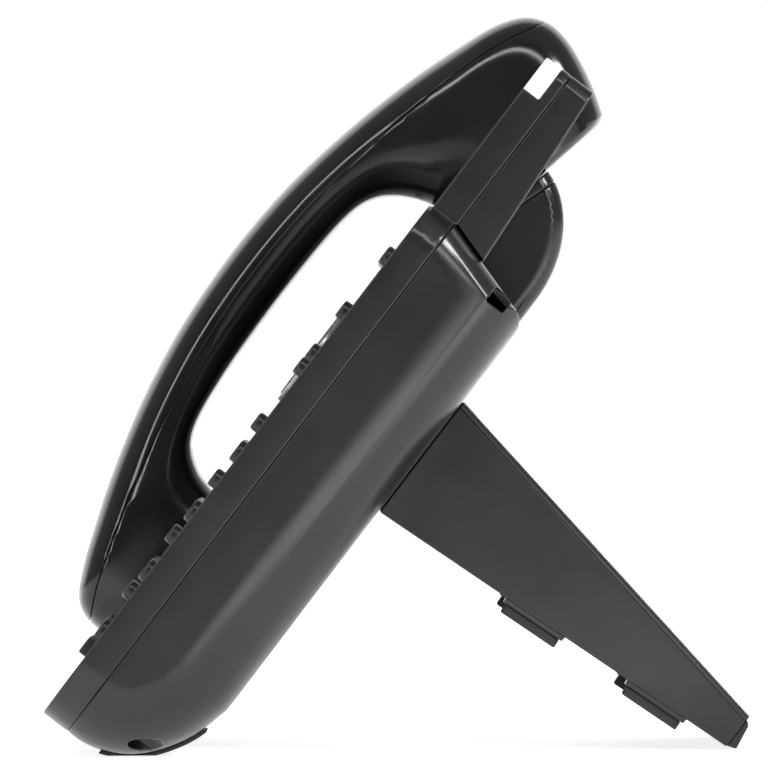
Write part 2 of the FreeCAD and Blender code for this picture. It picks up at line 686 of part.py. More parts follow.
def cover_cuts():
    """Everything that opens the front cover: pocket, key holes, window, lamp, grille and slots."""
    cuts = [mouth_pocket(0, -MOUTH_FACE_DEPTH - CRADLE_CLEAR, PAST)]
    for _, x, y, size in key_table():
        cuts.append(rounded_block(
            x, y, size[0] + 2 * KEY_GAP, size[1] + 2 * KEY_GAP, -FACE_PLATE - PAST, PAST,
            key_corner(size) + KEY_GAP,
        ))
    cuts.append(centred_box(
        SIDE_X, SIDE_FIRST_ROW, VOLUME_BAR[0] + 2 * ROCKER_END_GAP, VOLUME_BAR[1] + 2 * KEY_GAP,
        -FACE_PLATE - PAST, PAST,
    ))
    cuts.append(cylinder(NAV_X, NAV_Y, -FACE_PLATE - PAST, PAST, NAV_RADIUS))
    cuts += head_cuts()
    for i in range(GRILLE_SLOTS):
        x = HANDSET_X + (i - (GRILLE_SLOTS - 1) / 2) * GRILLE_PITCH
        cuts.append(centred_box(x, SPEAKER_AT, GRILLE_SLOT[0], GRILLE_SLOT[1], -FACE_PLATE - PAST, PAST))
    gap = 2 * KEY_GAP
    fit = 2 * TAB_SLIDE_FIT
    width, length, _ = TAB_SIZE
    cuts.append(centred_box(
        HANDSET_X, PLUNGER_AT, PLUNGER_SIZE[0] + gap, PLUNGER_SIZE[1] + gap, -BODY_DEPTH, PAST,
    ))
    cuts.append(centred_box(HANDSET_X, TAB_AT, width + fit, length + fit, -FACE_PLATE - PAST, PAST))
    for x, y in screw_places():
        cuts.append(cylinder(x, y, -SEAM_DEPTH - PAST, -SEAM_DEPTH + SCREW_BITE, SCREW_SHANK))
    cuts.append(cylinder(*microphone_place(), -FACE_PLATE - PAST, PAST, BASE_MICROPHONE_HOLE))
    return cuts


def microphone_place():
    return DIAL_X, BOARD_LOW - BASE_MICROPHONE_DROP


def window_box(lap, z0, z1):
    return box(
        HEAD_LEFT + BEZEL_SIDE + lap, HEAD_RIGHT - BEZEL_SIDE - lap,
        FACE_LENGTH + BEZEL_BOTTOM + lap, HEAD_END - BEZEL_TOP - lap, z0, z1,
    )


def head_cuts():
    head_floor = -HEAD_SET_BACK - FACE_PLATE
    return [
        plan_box(
            HEAD_LEFT + HEAD_WALL, HEAD_RIGHT - HEAD_WALL, FACE_LENGTH + HEAD_GAP, HEAD_END - HEAD_WALL,
            -HEAD_SEAM_DEPTH - PAST, head_floor, HEAD_CORNER - HEAD_WALL / 2,
        ),
        centred_box(
            SOFT_X, FACE_LENGTH, CABLE_WIDTH + 2 * CABLE_CLEAR, 6 * WALL,
            cable_z() - CABLE_CLEAR, cable_z() + CABLE_CLEAR,
        ),
        window_box(0, -HEAD_SET_BACK - WINDOW_THICKNESS, PAST),
        window_box(WINDOW_LAP, head_floor - PAST, PAST),
        lamp_box(),
    ]


def lamp_box():
    return plan_box(
        HEAD_RIGHT - LAMP_WIDTH, HEAD_RIGHT, HEAD_END - LAMP_LENGTH, HEAD_END,
        -HEAD_SET_BACK - LAMP_DEPTH, -HEAD_SET_BACK, HEAD_CORNER, [(HEAD_RIGHT, HEAD_END)],
    )


# ---- display head

def display_rear_cover():
    def shape(inset, top):
        low = -HEAD_ROOT_DEPTH + inset
        high = -HEAD_TIP_DEPTH + inset
        gap = HEAD_GAP + inset
        points = [
            (end_y(top) + gap, top),
            (end_y(low) + gap, low),
            (HEAD_END - inset, high),
            (HEAD_END - inset, top),
        ]
        solid = polygon_solid(points, HEAD_LEFT + inset, HEAD_RIGHT - inset)
        plan = plan_box(
            HEAD_LEFT + inset, HEAD_RIGHT - inset, FACE_LENGTH - BODY_DEPTH, HEAD_END - inset,
            -BODY_DEPTH, 0, HEAD_CORNER - inset / 2,
            [(HEAD_LEFT + inset, HEAD_END - inset), (HEAD_RIGHT - inset, HEAD_END - inset)],
        )
        return solid.common(plan)
    return shape(0, -HEAD_SEAM_DEPTH).cut(shape(HEAD_WALL, -HEAD_SEAM_DEPTH + PAST))


def display_window():
    return window_box(0, -HEAD_SET_BACK - WINDOW_THICKNESS, -HEAD_SET_BACK - WINDOW_SUNK)


def display_panel():
    top = -HEAD_SET_BACK - FACE_PLATE
    return window_box(0, top - PANEL_THICKNESS, top)


def cable_z():
    return BOARD_BOTTOM + BOARD_THICKNESS + CABLE_THICKNESS


def display_cable():
    """Flat flexible cable from the key board's upper edge to the back of the display panel."""
    half = CABLE_WIDTH / 2
    top = -HEAD_SET_BACK - FACE_PLATE - PANEL_THICKNESS
    rise = FACE_LENGTH + BEZEL_BOTTOM
    start = BOARD_HIGH - CABLE_LAP
    slope = rise - CABLE_BEND
    tail = rise + CABLE_TAIL
    low = cable_z() - CABLE_THICKNESS
    points = [
        (start, low), (slope, low), (rise, top - CABLE_THICKNESS), (tail, top - CABLE_THICKNESS),
        (tail, top), (rise, top), (slope, cable_z()), (start, cable_z()),
    ]
    return polygon_solid(points, SOFT_X - half, SOFT_X + half)


# ---- keys and what is under them

def key(x, y, size):
    width, length, height = size
    cap = rounded_block(x, y, width, length, FLANGE_BOTTOM, height, key_corner(size))
    flange = rounded_block(
        x, y, width + 2 * KEY_FLANGE, length + 2 * KEY_FLANGE, FLANGE_BOTTOM, FLANGE_TOP,
        key_corner(size) + KEY_FLANGE,
    )
    return fuse(cap, flange)


def dial_key(x, y, size):
    """A dial key with a shallow hollow for the fingertip."""
    solid = key(x, y, size)
    hollow = Part.makeSphere(FINGER_RADIUS, vector(x, y, size[2] + FINGER_RADIUS - FINGER_DEPTH))
    return solid.cut(hollow)


def nav_key(turn):
    """A quarter of the navigation disc, turned about the disc's centre by turn degrees."""
    outer = NAV_RADIUS - NAV_RING - KEY_GAP
    inner = OK_RADIUS + KEY_GAP
    cap = cylinder(0, 0, FLANGE_BOTTOM, NAV_HEIGHT, outer)
    flange = cylinder(0, 0, FLANGE_BOTTOM, FLANGE_TOP, NAV_RADIUS + KEY_FLANGE)
    disc = fuse(cap, flange).cut(cylinder(0, 0, FLANGE_BOTTOM - PAST, NAV_HEIGHT + PAST, inner))
    reach = 2 * NAV_RADIUS
    gap = NAV_SPLIT / math.sqrt(2)
    low = FLANGE_BOTTOM - PAST
    points = [vector(0, gap, low), vector(reach, reach + gap, low), vector(-reach, reach + gap, low)]
    wedge = Part.Face(Part.makePolygon(points + [points[0]])).extrude(vector(0, 0, 2 * NAV_RADIUS))
    quarter = disc.common(wedge)
    quarter.rotate(vector(0, 0, 0), vector(0, 0, 1), turn)
    quarter.translate(vector(NAV_X, NAV_Y, 0))
    return quarter


def nav_ring():
    low = -FACE_PLATE
    high = NAV_HEIGHT - NAV_DROP
    ring = cylinder(NAV_X, NAV_Y, low, high, NAV_RADIUS)
    return ring.cut(cylinder(NAV_X, NAV_Y, low - PAST, high + PAST, NAV_RADIUS - NAV_RING))


def ok_key():
    return cylinder(NAV_X, NAV_Y, FLANGE_BOTTOM, NAV_HEIGHT - NAV_DROP, OK_RADIUS)


def volume_rocker():
    width, length, height = VOLUME_BAR
    cap = centred_box(SIDE_X, SIDE_FIRST_ROW, width, length, FLANGE_BOTTOM, height)
    flange = centred_box(
        SIDE_X, SIDE_FIRST_ROW, width - 2 * ROCKER_FLANGE_INSET, length + 2 * KEY_FLANGE,
        FLANGE_BOTTOM, FLANGE_TOP,
    )
    solid = fuse(cap, flange)
    return solid.cut(rocker_relief(1)).cut(rocker_relief(-1))


def rocker_relief(side):
    """Bevels the underside of one end, so that it can dip without touching the mat."""
    near = SIDE_X + side * VOLUME_BAR[0] / 8
    far = SIDE_X + side * (VOLUME_BAR[0] / 2 + PAST)
    low = FLANGE_BOTTOM - PAST
    corners = [
        vector(near, 0, low), vector(near, 0, FLANGE_BOTTOM),
        vector(far, 0, FLANGE_BOTTOM + ROCKER_DIP), vector(far, 0, low),
    ]
    face = Part.Face(Part.makePolygon(corners + [corners[0]]))
    return face.extrude(vector(0, 2 * SIDE_PITCH, 0))


def key_mat():
    """Rubber mat with a raised pad under each key."""
    mat = box(
        BOARD_LEFT, BOARD_RIGHT, BOARD_LOW, SOFT_Y + MAT_EDGE, MAT_BOTTOM, MAT_BOTTOM + MAT_THICKNESS / 2,
    )
    pads = []
    for _, x, y, size in key_table():
        pads.append(rounded_block(
            x, y, size[0] - 2 * PAD_INSET, size[1] - PAD_INSET, MAT_BOTTOM, MAT_TOP,
            key_corner(size) - PAD_INSET / 2,
        ))
    pads.append(cylinder(NAV_X, NAV_Y, MAT_BOTTOM, MAT_TOP, NAV_RADIUS - 3 * PAD_INSET))
    pads.append(centred_box(SIDE_X, SIDE_FIRST_ROW, ROCKER_PAD, ROCKER_PAD, MAT_BOTTOM, MAT_TOP))
    return fuse(mat, *pads).cut(post_holes(MAT_BOTTOM - PAST, MAT_TOP + PAST))


def key_board():
    board = box(BOARD_LEFT, BOARD_RIGHT, BOARD_LOW, BOARD_HIGH, BOARD_BOTTOM, MAT_BOTTOM)
    return board.cut(post_holes(BOARD_BOTTOM - PAST, MAT_BOTTOM + PAST))


def main_board_high():
    return BAY_END + MAIN_BOARD_LENGTH


def main_board():
    under = JACK_BOARD_TOP - BOARD_THICKNESS
    return box(-BAY_WIDTH / 2, BAY_WIDTH / 2, BAY_END + WALL, main_board_high(), under, JACK_BOARD_TOP)


def jacks(wanted):
    bodies = []
    for kind, x, size, hole in jack_layout():
        if kind != wanted:
            continue
        body = jack_body(x, size)
        low = body.BoundBox.ZMin + JACK_FLOOR
        socket = box(
            x - hole[0] / 2, x + hole[0] / 2, BAY_END - PAST, BAY_END + JACK_SOCKET_DEPTH, low, low + hole[1],
        )
        bodies.append(body.cut(socket))
    return Part.makeCompound(bodies)


def loudspeaker():
    """Frame with a flat rim, and the magnet behind it."""
    top = -FACE_PLATE
    back = top - SPEAKER_RIM - SPEAKER_CONE
    rim = cylinder(HANDSET_X, SPEAKER_AT, top - SPEAKER_RIM, top, SPEAKER_RADIUS)
    cone = Part.makeCone(
        MAGNET_RADIUS, SPEAKER_RADIUS - SPEAKER_RIM, SPEAKER_CONE, vector(HANDSET_X, SPEAKER_AT, back),
    )
    magnet = cylinder(HANDSET_X, SPEAKER_AT, top - SPEAKER_DEPTH, back, MAGNET_RADIUS)
    return fuse(rim, cone, magnet)


def base_microphone():
    x, y = microphone_place()
    return cylinder(x, y, -FACE_PLATE - BASE_MICROPHONE_DEPTH, -FACE_PLATE, BASE_MICROPHONE_RADIUS)


# ---- hook switch and tab

def plunger_top():
    """Clear of the ear cup all over the plunger's tip."""
    return ear_seat(PLUNGER_AT + PLUNGER_SIZE[1] / 2) - PLUNGER_CLEAR


def plunger_bottom():
    """Low enough for the flange to stay under the ear seat when the plunger is up."""
    seat_bottom = seam_left(PLUNGER_AT + PLUNGER_SIZE[1] / 2 + PLUNGER_SHOULDER[1])
    return seat_bottom - PLUNGER_TRAVEL - KEY_GAP - PLUNGER_FLANGE


def hook_plunger():
    width, length = PLUNGER_SIZE
    stem = centred_box(HANDSET_X, PLUNGER_AT, width, length, plunger_bottom(), plunger_top())
    flange_top = plunger_bottom() + PLUNGER_FLANGE
    flange = centred_box(
        HANDSET_X, PLUNGER_AT, width + 2 * PLUNGER_SHOULDER[0], length + 2 * PLUNGER_SHOULDER[1],
        plunger_bottom(), flange_top,
    )
    return fuse(stem, flange)


def hook_switch():
    top = plunger_bottom() - KEY_GAP
    width, length, height = SWITCH_BUTTON
    rim = top - height
    body = centred_box(HANDSET_X, PLUNGER_AT, SWITCH_SIZE[0], SWITCH_SIZE[1], top - SWITCH_HEIGHT, rim)
    button = centred_box(HANDSET_X, PLUNGER_AT, width, length, rim, top)
    return fuse(body, button)


def cradle_tab():
    """A tab that slides up out of the land, held by a lip that meets the cover at the end of its travel."""
    width, length, height = TAB_SIZE
    top = -TAB_SUNK
    lip_top = -FACE_PLATE - TAB_TRAVEL - KEY_GAP
    bottom = min(top - height, lip_top - TAB_LIP[1])
    stem = centred_box(HANDSET_X, TAB_AT, width, length, bottom, top)
    reach = TAB_AT + length / 2 + TAB_LIP[0]
    lip = box(HANDSET_X - width / 2, HANDSET_X + width / 2, TAB_AT - length / 2, reach, bottom, lip_top)
    return fuse(stem, lip)


# ---- feet, screws

def ellipse_block(grow, x0, x1):
    """Solid under the rounded toe, grown outwards by grow."""
    centre = (TOE_LENGTH, -TOE_TOP)
    edges = [elliptic(centre, (TOE_LENGTH + grow, TOE_DEPTH + grow), 180, 270)]
    edges += lines([
        (TOE_LENGTH, -BODY_DEPTH - grow), (TOE_LENGTH, -TOE_TOP), (-grow, -TOE_TOP),
    ])
    return side_solid(edges, x0, x1)


def base_feet(lean):
    """Rubber feet that follow the rounded toe and are flat where they meet the desk."""
    feet = []
    for side in (-1, 1):
        edge = side * (RIGHT - FOOT_FROM_SIDE)
        x0, x1 = sorted((edge, edge - side * FOOT_WIDTH))
        pad = ellipse_block(FOOT_PROUD, x0, x1).cut(ellipse_block(0, x0 - PAST, x1 + PAST))
        pad = pad.common(box(x0, x1, -FAR, FOOT_END, -BODY_DEPTH - FAR, -TOE_TOP - FOOT_DROP))
        desk = box(-BODY_WIDTH, BODY_WIDTH, -BODY_WIDTH, BODY_WIDTH, -FAR, 0)
        desk.Placement = standing(lean).inverse().multiply(desk.Placement)
        feet.append(pad.cut(desk))
    return Part.makeCompound(feet)


def housing_screws():
    screws = []
    for x, y in screw_places():
        head = cylinder(x, y, -SCREW_SEAT_DEPTH - SCREW_HEAD_HEIGHT, -SCREW_SEAT_DEPTH, SCREW_HEAD)
        shank = cylinder(x, y, -SCREW_SEAT_DEPTH, -SEAM_DEPTH + SCREW_BITE, SCREW_SHANK)
        low = -SCREW_SEAT_DEPTH - SCREW_HEAD_HEIGHT - PAST
        high = low + PAST + CROSS_SLOT[2]
        cross = [
            centred_box(x, y, CROSS_SLOT[0], CROSS_SLOT[1], low, high),
            centred_box(x, y, CROSS_SLOT[1], CROSS_SLOT[0], low, high),
        ]
        screws.append(fuse(head, shank).cut(fuse(*cross)))
    return Part.makeCompound(screws)


# ---- stand

def stand_low_edge(z):
    """Y of the stand's lower edge at height z."""
    share = (-BODY_DEPTH - z) / (STAND_DEPTH - BODY_DEPTH)
    return STAND_LOW + (STAND_TIP_LOW - STAND_LOW) * share


def stand_high_edge(z):
    share = (-BODY_DEPTH - z) / (STAND_DEPTH - BODY_DEPTH)
    return STAND_HIGH + (STAND_TIP_HIGH - STAND_HIGH) * share


def stand_profile(low_in, high_in, z_top, z_tip):
    return [
        (stand_low_edge(z_top) + low_in, z_top),
        (stand_high_edge(z_top) - high_in, z_top),
        (stand_high_edge(z_tip) - high_in, z_tip),
        (stand_low_edge(z_tip) + low_in, z_tip),
    ]


def stand():
    half = STAND_WIDTH / 2
    inner = half - STAND_PLATE_LIP
    top = -BODY_DEPTH - STAND_GAP
    tip = -STAND_DEPTH
    wedge = polygon_solid(stand_profile(0, STAND_PLATE / 2, top, tip), -inner, inner)
    hollow = polygon_solid(
        stand_profile(-PAST, STAND_PLATE, top - STAND_WALL, tip + STAND_TIP_BLOCK),
        -inner + STAND_WALL, inner - STAND_WALL,
    )
    plate = polygon_solid([
        (stand_high_edge(top) - STAND_PLATE, top), (stand_high_edge(top), top),
        (stand_high_edge(tip), tip), (stand_high_edge(tip) - STAND_PLATE, tip),
    ], -half, half)
    pieces = [wedge.cut(hollow), plate]
    for i in range(1, STAND_RIBS):
        z = top + (tip - top) * i / STAND_RIBS
        profile = stand_profile(STAND_PLATE, STAND_PLATE / 2, z + STAND_RIB / 2, z - STAND_RIB / 2)
        pieces.append(polygon_solid(profile, -inner + STAND_WALL / 2, inner - STAND_WALL / 2))
    for x in (-HOOK_AT, HOOK_AT):
        pieces += hook(x, top)
    width, length, _ = STAND_FOOT
    pieces += stand_foot_blocks(
        STAND_PLINTH, width + 2 * PLINTH_EDGE, length + 2 * PLINTH_EDGE, 2 * STAND_WALL,
    )
    return fuse(*pieces)


def hook(x, top):
    """Neck and head that slide into a keyhole slot of the rear shell."""
    y = (STAND_LOW + STAND_HIGH) / 2
    head_bottom = -BODY_DEPTH + WALL + STAND_GAP
    neck = centred_box(x, y, HOOK_NECK[0], HOOK_NECK[1], top - PAST, head_bottom + PAST)
    head = centred_box(x, y, HOOK_HEAD[0], HOOK_HEAD[1], head_bottom, head_bottom + HOOK_HEAD[2])
    return [neck, head]


def stand_foot_blocks(proud, width, length, sunk):
    """Blocks on the stand's lower edge, two on each side, from sunk inside it to proud of it."""
    blocks = []
    slope = math.degrees(math.atan2(STAND_TIP_LOW - STAND_LOW, STAND_DEPTH - BODY_DEPTH))
    for side in (-1, 1):
        centre = side * (STAND_WIDTH / 2 - STAND_PLATE_LIP - STAND_FOOT_INSET - STAND_FOOT[0] / 2)
        for depth in STAND_FOOT_DEPTHS:
            block = box(centre - width / 2, centre + width / 2, -proud, sunk, -length / 2, length / 2)
            block.rotate(vector(0, 0, 0), vector(1, 0, 0), slope)
            block.translate(vector(0, stand_low_edge(-depth), -depth))
            blocks.append(block)
    return blocks


def stand_feet():
    feet = stand_foot_blocks(STAND_PLINTH + STAND_FOOT[2], STAND_FOOT[0], STAND_FOOT[1], -STAND_PLINTH)
    return Part.makeCompound(feet)


def tip_pad_low():
    """(y, z) of the pad's corner that stands on the desk."""
    return STAND_TIP_LOW + TIP_PAD_SLOPE, -STAND_DEPTH - TIP_PAD


def stand_tip_pad():
    half = STAND_WIDTH / 2 - STAND_PLATE_LIP
    low = tip_pad_low()
    slope = TIP_PAD_SLOPE
    points = [
        (STAND_TIP_LOW + slope / 4, -STAND_DEPTH), (STAND_TIP_HIGH - slope, -STAND_DEPTH),
        (STAND_TIP_HIGH - 2 * slope, -STAND_DEPTH - TIP_PAD + slope),
        (low[0] + 2 * slope, low[1] + slope / 3), low,
    ]
    return polygon_solid(points, -half, half)


# ---- handset

def handset_ribs():
    """Cross sections from the mouth face over the handle to the ear face.

    Each is the outer and the inner end of the section in the side view, its half width and the
    radius of its corners."""
    cup = HANDSET_HALF_WIDTH
    grip = HANDSET_HANDLE_HALF
    middle = (cup + grip) / 2
    return [
        ((MOUTH_START + 1.6, -MOUTH_FACE_DEPTH), (MOUTH_END - 3.1, -MOUTH_FACE_DEPTH), cup - 1, 11.0),
        ((MOUTH_START, 2.5), (MOUTH_END, 2.0), cup - 0.2, 11.0),
        ((23.9, 11.3), (74.0, 8.6), cup, 11.0),
        ((37.5, 18.8), (78.0, 13.3), cup - 0.8, 10.0),
        ((59.5, 26.3), (85.0, 15.4), middle - 0.3, 9.2),
        ((92.5, 33.8), (100.0, 17.0), grip + 0.3, 8.6),
        ((125.5, 36.4), (123.0, 18.0), grip, 8.6),
        ((158.5, 33.9), (147.0, 17.2), grip + 0.3, 8.6),
        ((187.0, 27.8), (159.5, 15.4), middle, 9.2),
        ((211.0, 20.2), (164.5, 10.8), cup - 0.8, 10.2),
        ((225.6, 12.6), (167.6, 5.8), cup, 11.4),
        ((228.3, 2.0), (170.2, -3.5), cup, 12.0),
        ((224.4, -10.2), (171.8, -9.4), cup - 0.3, 12.0),
        ((EAR_FACE_END, -EAR_FACE_END_DEPTH), (EAR_FACE_START, -EAR_FACE_DEPTH), cup - 1, 12.0),
    ]


def section(outer, inner, half, radius):
    """A rounded rectangle that stands across the handset between two points of the side view."""
    long = math.hypot(inner[0] - outer[0], inner[1] - outer[1])
    along = vector(0, (inner[0] - outer[0]) / long, (inner[1] - outer[1]) / long)
    across = vector(1, 0, 0)
    start = vector(HANDSET_X, outer[0], outer[1])

    def at(u, v):
        return start + across * u + along * v

    radius = min(radius, long / 2 - SECTION_FLAT, half - SECTION_FLAT)
    edges = []
    centres = [
        (half - radius, radius, -90), (half - radius, long - radius, 0),
        (-half + radius, long - radius, 90), (-half + radius, radius, 180),
    ]
    arcs = []
    for u, v, first in centres:
        points = []
        for degrees in (first, first + 45, first + 90):
            a = math.radians(degrees)
            points.append(at(u + radius * math.cos(a), v + radius * math.sin(a)))
        arcs.append(points)
    for i, points in enumerate(arcs):
        edges.append(Part.Arc(*points).toShape())
        edges.append(Part.makeLine(points[2], arcs[(i + 1) % 4][0]))
    return Part.Wire(edges)


def handset_solid(inset):
    """The whole handset as one solid, drawn in by inset on every side."""
    ribs = handset_ribs()
    last = len(ribs) - 1
    wires = []
    for i, (outer, inner, half, radius) in enumerate(ribs):
        long = math.hypot(inner[0] - outer[0], inner[1] - outer[1])
        ty, tz = (inner[0] - outer[0]) / long, (inner[1] - outer[1]) / long
        shift = {0: inset, last: -inset}.get(i, 0.0)
        outer = (outer[0] + ty * inset - tz * shift, outer[1] + tz * inset + ty * shift)
        inner = (inner[0] - ty * inset - tz * shift, inner[1] - tz * inset + ty * shift)
        wires.append(section(outer, inner, half - inset, radius - inset / 2))
    return Part.makeLoft(wires, True, False)


def above_seam():
    """Everything above the line where the two handset shells meet."""
    seam = [
        (22.1, 5.8), (32.0, 10.4), (48.5, 15.6), (70.5, 21.3), (97.0, 25.8), (125.5, 27.5),
        (158.0, 25.4), (191.5, 19.5), (213.5, 13.2), (228.6, 5.8),
    ]
    first, last = seam[0], seam[-1]
    edges = [spline(seam)]
    edges += lines([
        last, (last[0] + FAR, last[1] - FAR / 2), (last[0] + FAR, 2 * FAR), (first[0] - FAR, 2 * FAR),
        (first[0] - FAR, first[1] - FAR / 2), first,
    ])
    return side_solid(edges, HANDSET_X - FAR, HANDSET_X + FAR)


def handset_shells():
    solid = handset_solid(0)
    above = above_seam()
    hollow = handset_solid(HANDSET_WALL)
    upper = solid.common(above)
    lower = solid.cut(above)
    outer = upper.cut(hollow)
    inner = lower.cut(hollow)
    posts, tubes, bores = [], [], []
    seat = HANDSET_POST_TOP - HANDSET_SCREW_SEAT
    thread_end = HANDSET_POST_TOP + HANDSET_THREAD
    for y in HANDSET_POSTS:
        posts.append(cylinder(HANDSET_X, y, HANDSET_POST_TOP, FAR, HANDSET_POST_RADIUS).common(solid))
        tubes.append(cylinder(HANDSET_X, y, -FAR, HANDSET_POST_TOP, HANDSET_TUBE_RADIUS).common(lower))
        bores.append(cylinder(HANDSET_X, y, -FAR, seat, SCREW_HEAD + SCREW_FIT))
        bores.append(cylinder(HANDSET_X, y, -FAR, HANDSET_POST_TOP + PAST, SCREW_SHANK + SCREW_SLIP))
    for side in (-1, 1):
        rest_y = WEIGHT_AT + side * WEIGHT_RESTS
        rest = centred_box(
            HANDSET_X, rest_y, WEIGHT_SIZE[0] - 2 * REST_INSET, REST_THICKNESS, 0, WEIGHT_BOTTOM,
        )
        tubes.append(rest.common(lower))
    outer = fuse(outer, *posts)
    for y in HANDSET_POSTS:
        outer = outer.cut(cylinder(HANDSET_X, y, HANDSET_POST_TOP - PAST, thread_end, SCREW_SHANK))
    inner = fuse(inner, *tubes).cut(fuse(*bores))
    inner = inner.cut(fuse(jack_block(), *handset_openings()))
    return outer, inner


def handset_openings():
    """Jack hole, microphone hole and the ring of holes over the receiver."""
    low = JACK_BOTTOM + PLUG_FLOOR
    cuts = [box(
        HANDSET_X - PLUG_HOLE[0] / 2, HANDSET_X + PLUG_HOLE[0] / 2,
        MOUTH_START - HANDSET_WALL, MOUTH_START + 2 * HANDSET_WALL, low, low + PLUG_HOLE[1],
    )]
    face = -MOUTH_FACE_DEPTH
    cuts.append(cylinder(HANDSET_X, mouth_centre(), face - PAST, face + 2 * HANDSET_WALL, MOUTH_HOLE_RADIUS))
    for i in range(EAR_HOLES):
        a = 2 * math.pi * i / EAR_HOLES
        x, y = EAR_HOLE_RING * math.cos(a), EAR_HOLE_RING * math.sin(a)
        cuts.append(on_ear_face(cylinder(x, y, -PAST, HANDSET_WALL + PAST, EAR_HOLE_RADIUS)))
    return cuts


def mouth_centre():
    return (MOUTH_START + MOUTH_END) / 2


def on_ear_face(shape):
    """Moves a shape drawn about the origin, +Z inwards, onto the middle of the ear face."""
    slope = math.degrees(math.atan(EAR_SLOPE))
    shape.rotate(vector(0, 0, 0), vector(1, 0, 0), -slope)
    y = (EAR_FACE_START + EAR_FACE_END) / 2 + RECEIVER_SHIFT
    z = -EAR_FACE_DEPTH - EAR_SLOPE * (y - EAR_FACE_START)
    shape.translate(vector(HANDSET_X, y, z))
    return shape


def ear_receiver():
    disc = Part.makeCylinder(RECEIVER_RADIUS, RECEIVER_THICKNESS, vector(0, 0, HANDSET_WALL))
    radius, thickness = RECEIVER_CAP
    cap = Part.makeCylinder(radius, thickness, vector(0, 0, HANDSET_WALL + RECEIVER_THICKNESS))
    return on_ear_face(fuse(disc, cap))


def mouth_microphone():
    z = -MOUTH_FACE_DEPTH + HANDSET_WALL
    return cylinder(HANDSET_X, mouth_centre(), z, z + MICROPHONE_THICKNESS, MICROPHONE_RADIUS)


def handset_weight():
    width, length, height = WEIGHT_SIZE
    top = WEIGHT_BOTTOM + height
    return rounded_block(HANDSET_X, WEIGHT_AT, width, length, WEIGHT_BOTTOM, top, WEIGHT_CORNER)


def jack_block():
    """Outside of the handset's jack, which sits in a notch behind the end wall."""
    width, length, height = PLUG_SIZE
    y0 = MOUTH_START + JACK_SETBACK
    top = JACK_BOTTOM + height
    return box(HANDSET_X - width / 2, HANDSET_X + width / 2, y0, y0 + length, JACK_BOTTOM, top)


def handset_jack():
    low = JACK_BOTTOM + PLUG_FLOOR
    end = MOUTH_START + PLUG_SIZE[1] - PLUG_BACK
    socket = box(
        HANDSET_X - PLUG_HOLE[0] / 2, HANDSET_X + PLUG_HOLE[0] / 2, MOUTH_START, end,
        low, low + PLUG_HOLE[1],
    )
    return jack_block().cut(socket)


def handset_screws():
    screws = []
    for y in HANDSET_POSTS:
        seat = HANDSET_POST_TOP - HANDSET_SCREW_SEAT
        head = cylinder(HANDSET_X, y, seat - SCREW_HEAD_HEIGHT, seat, SCREW_HEAD)
        shank = cylinder(HANDSET_X, y, seat, HANDSET_POST_TOP + HANDSET_THREAD, SCREW_SHANK)
        screws.append(fuse(head, shank))
    return Part.makeCompound(screws)


# ---- standing the telephone on the desk

def lean_angle():
    """The lean, in radians, at which the feet and the tip of the stand touch the desk together."""
    tip_y, tip_z = tip_pad_low()

    def height(lean):
        s, c = math.sin(lean), math.cos(lean)
        shell = s * TOE_LENGTH - c * TOE_TOP - math.hypot(s * TOE_LENGTH, c * TOE_DEPTH)
        return s * tip_y + c * tip_z - (shell - FOOT_CONTACT)

    low, high = math.radians(LEAST_LEAN), math.radians(MOST_LEAN)
    for _ in range(LEAN_STEPS):
        middle = (low + high) / 2
        if height(middle) < 0:
            low = middle
        else:
            high = middle
    return (low + high) / 2


def standing(lean):
    """Placement that leans the flat telephone back and lifts its feet onto Z = 0."""
    s, c = math.sin(lean), math.cos(lean)
    shell = s * TOE_LENGTH - c * TOE_TOP - math.hypot(s * TOE_LENGTH, c * TOE_DEPTH)
    turn = FreeCAD.Rotation(vector(1, 0, 0), math.degrees(lean))
    return FreeCAD.Placement(vector(0, 0, FOOT_CONTACT - shell), turn)


def all_pieces(lean):
    outer, inner = handset_shells()
    pieces = {
        "front_cover": front_cover(),
        "rear_shell": rear_shell(),
        "display_rear_cover": display_rear_cover(),
        "display_window": display_window(),
        "display_panel": display_panel(),
        "display_cable": display_cable(),
        "status_lamp": lamp_box(),
        "nav_ring": nav_ring(),
        "key_board": key_board(),
        "key_mat": key_mat(),
        "main_board": main_board(),
        "network_jacks": jacks("network"),
        "cord_jacks": jacks("cord"),
        "loudspeaker": loudspeaker(),
        "base_microphone": base_microphone(),
        "hook_switch": hook_switch(),
        "hook_plunger": hook_plunger(),
        "cradle_tab": cradle_tab(),
        "base_feet": base_feet(lean),
        "housing_screws": housing_screws(),
        "stand": stand(),
        "stand_feet": stand_feet(),
        "stand_tip_pad": stand_tip_pad(),
        "handset_outer_shell": outer,
        "handset_inner_shell": inner,
        "ear_receiver": ear_receiver(),
        "mouth_microphone": mouth_microphone(),
        "handset_weight": handset_weight(),
        "handset_jack": handset_jack(),
        "handset_screws": handset_screws(),
        "volume_rocker": volume_rocker(),
        "ok_key": ok_key(),
    }
    for turn, name in enumerate(("nav_up", "nav_left", "nav_down", "nav_right")):
        pieces[name] = nav_key(90 * turn)
    for name, x, y, size in key_table():
        pieces[name] = dial_key(x, y, size) if size is DIAL_KEY else key(x, y, size)
    return pieces


def set_down():
    """Leans every piece back, centres the telephone front to back and writes one file per piece."""
    lean = lean_angle()
    pieces = all_pieces(lean)
    whole = FreeCAD.BoundBox()
    for shape in pieces.values():
        shape.Placement = standing(lean).multiply(shape.Placement)
        whole.add(shape.optimalBoundingBox(False))
    print("lean", round(math.degrees(lean), 3), "box", whole)
    os.makedirs("parts", exist_ok=True)
    for name, shape in pieces.items():
        shape.translate(vector(0, -(whole.YMin + whole.YMax) / 2, 0))
        shape.exportStep("parts/" + name + ".step")


set_down()
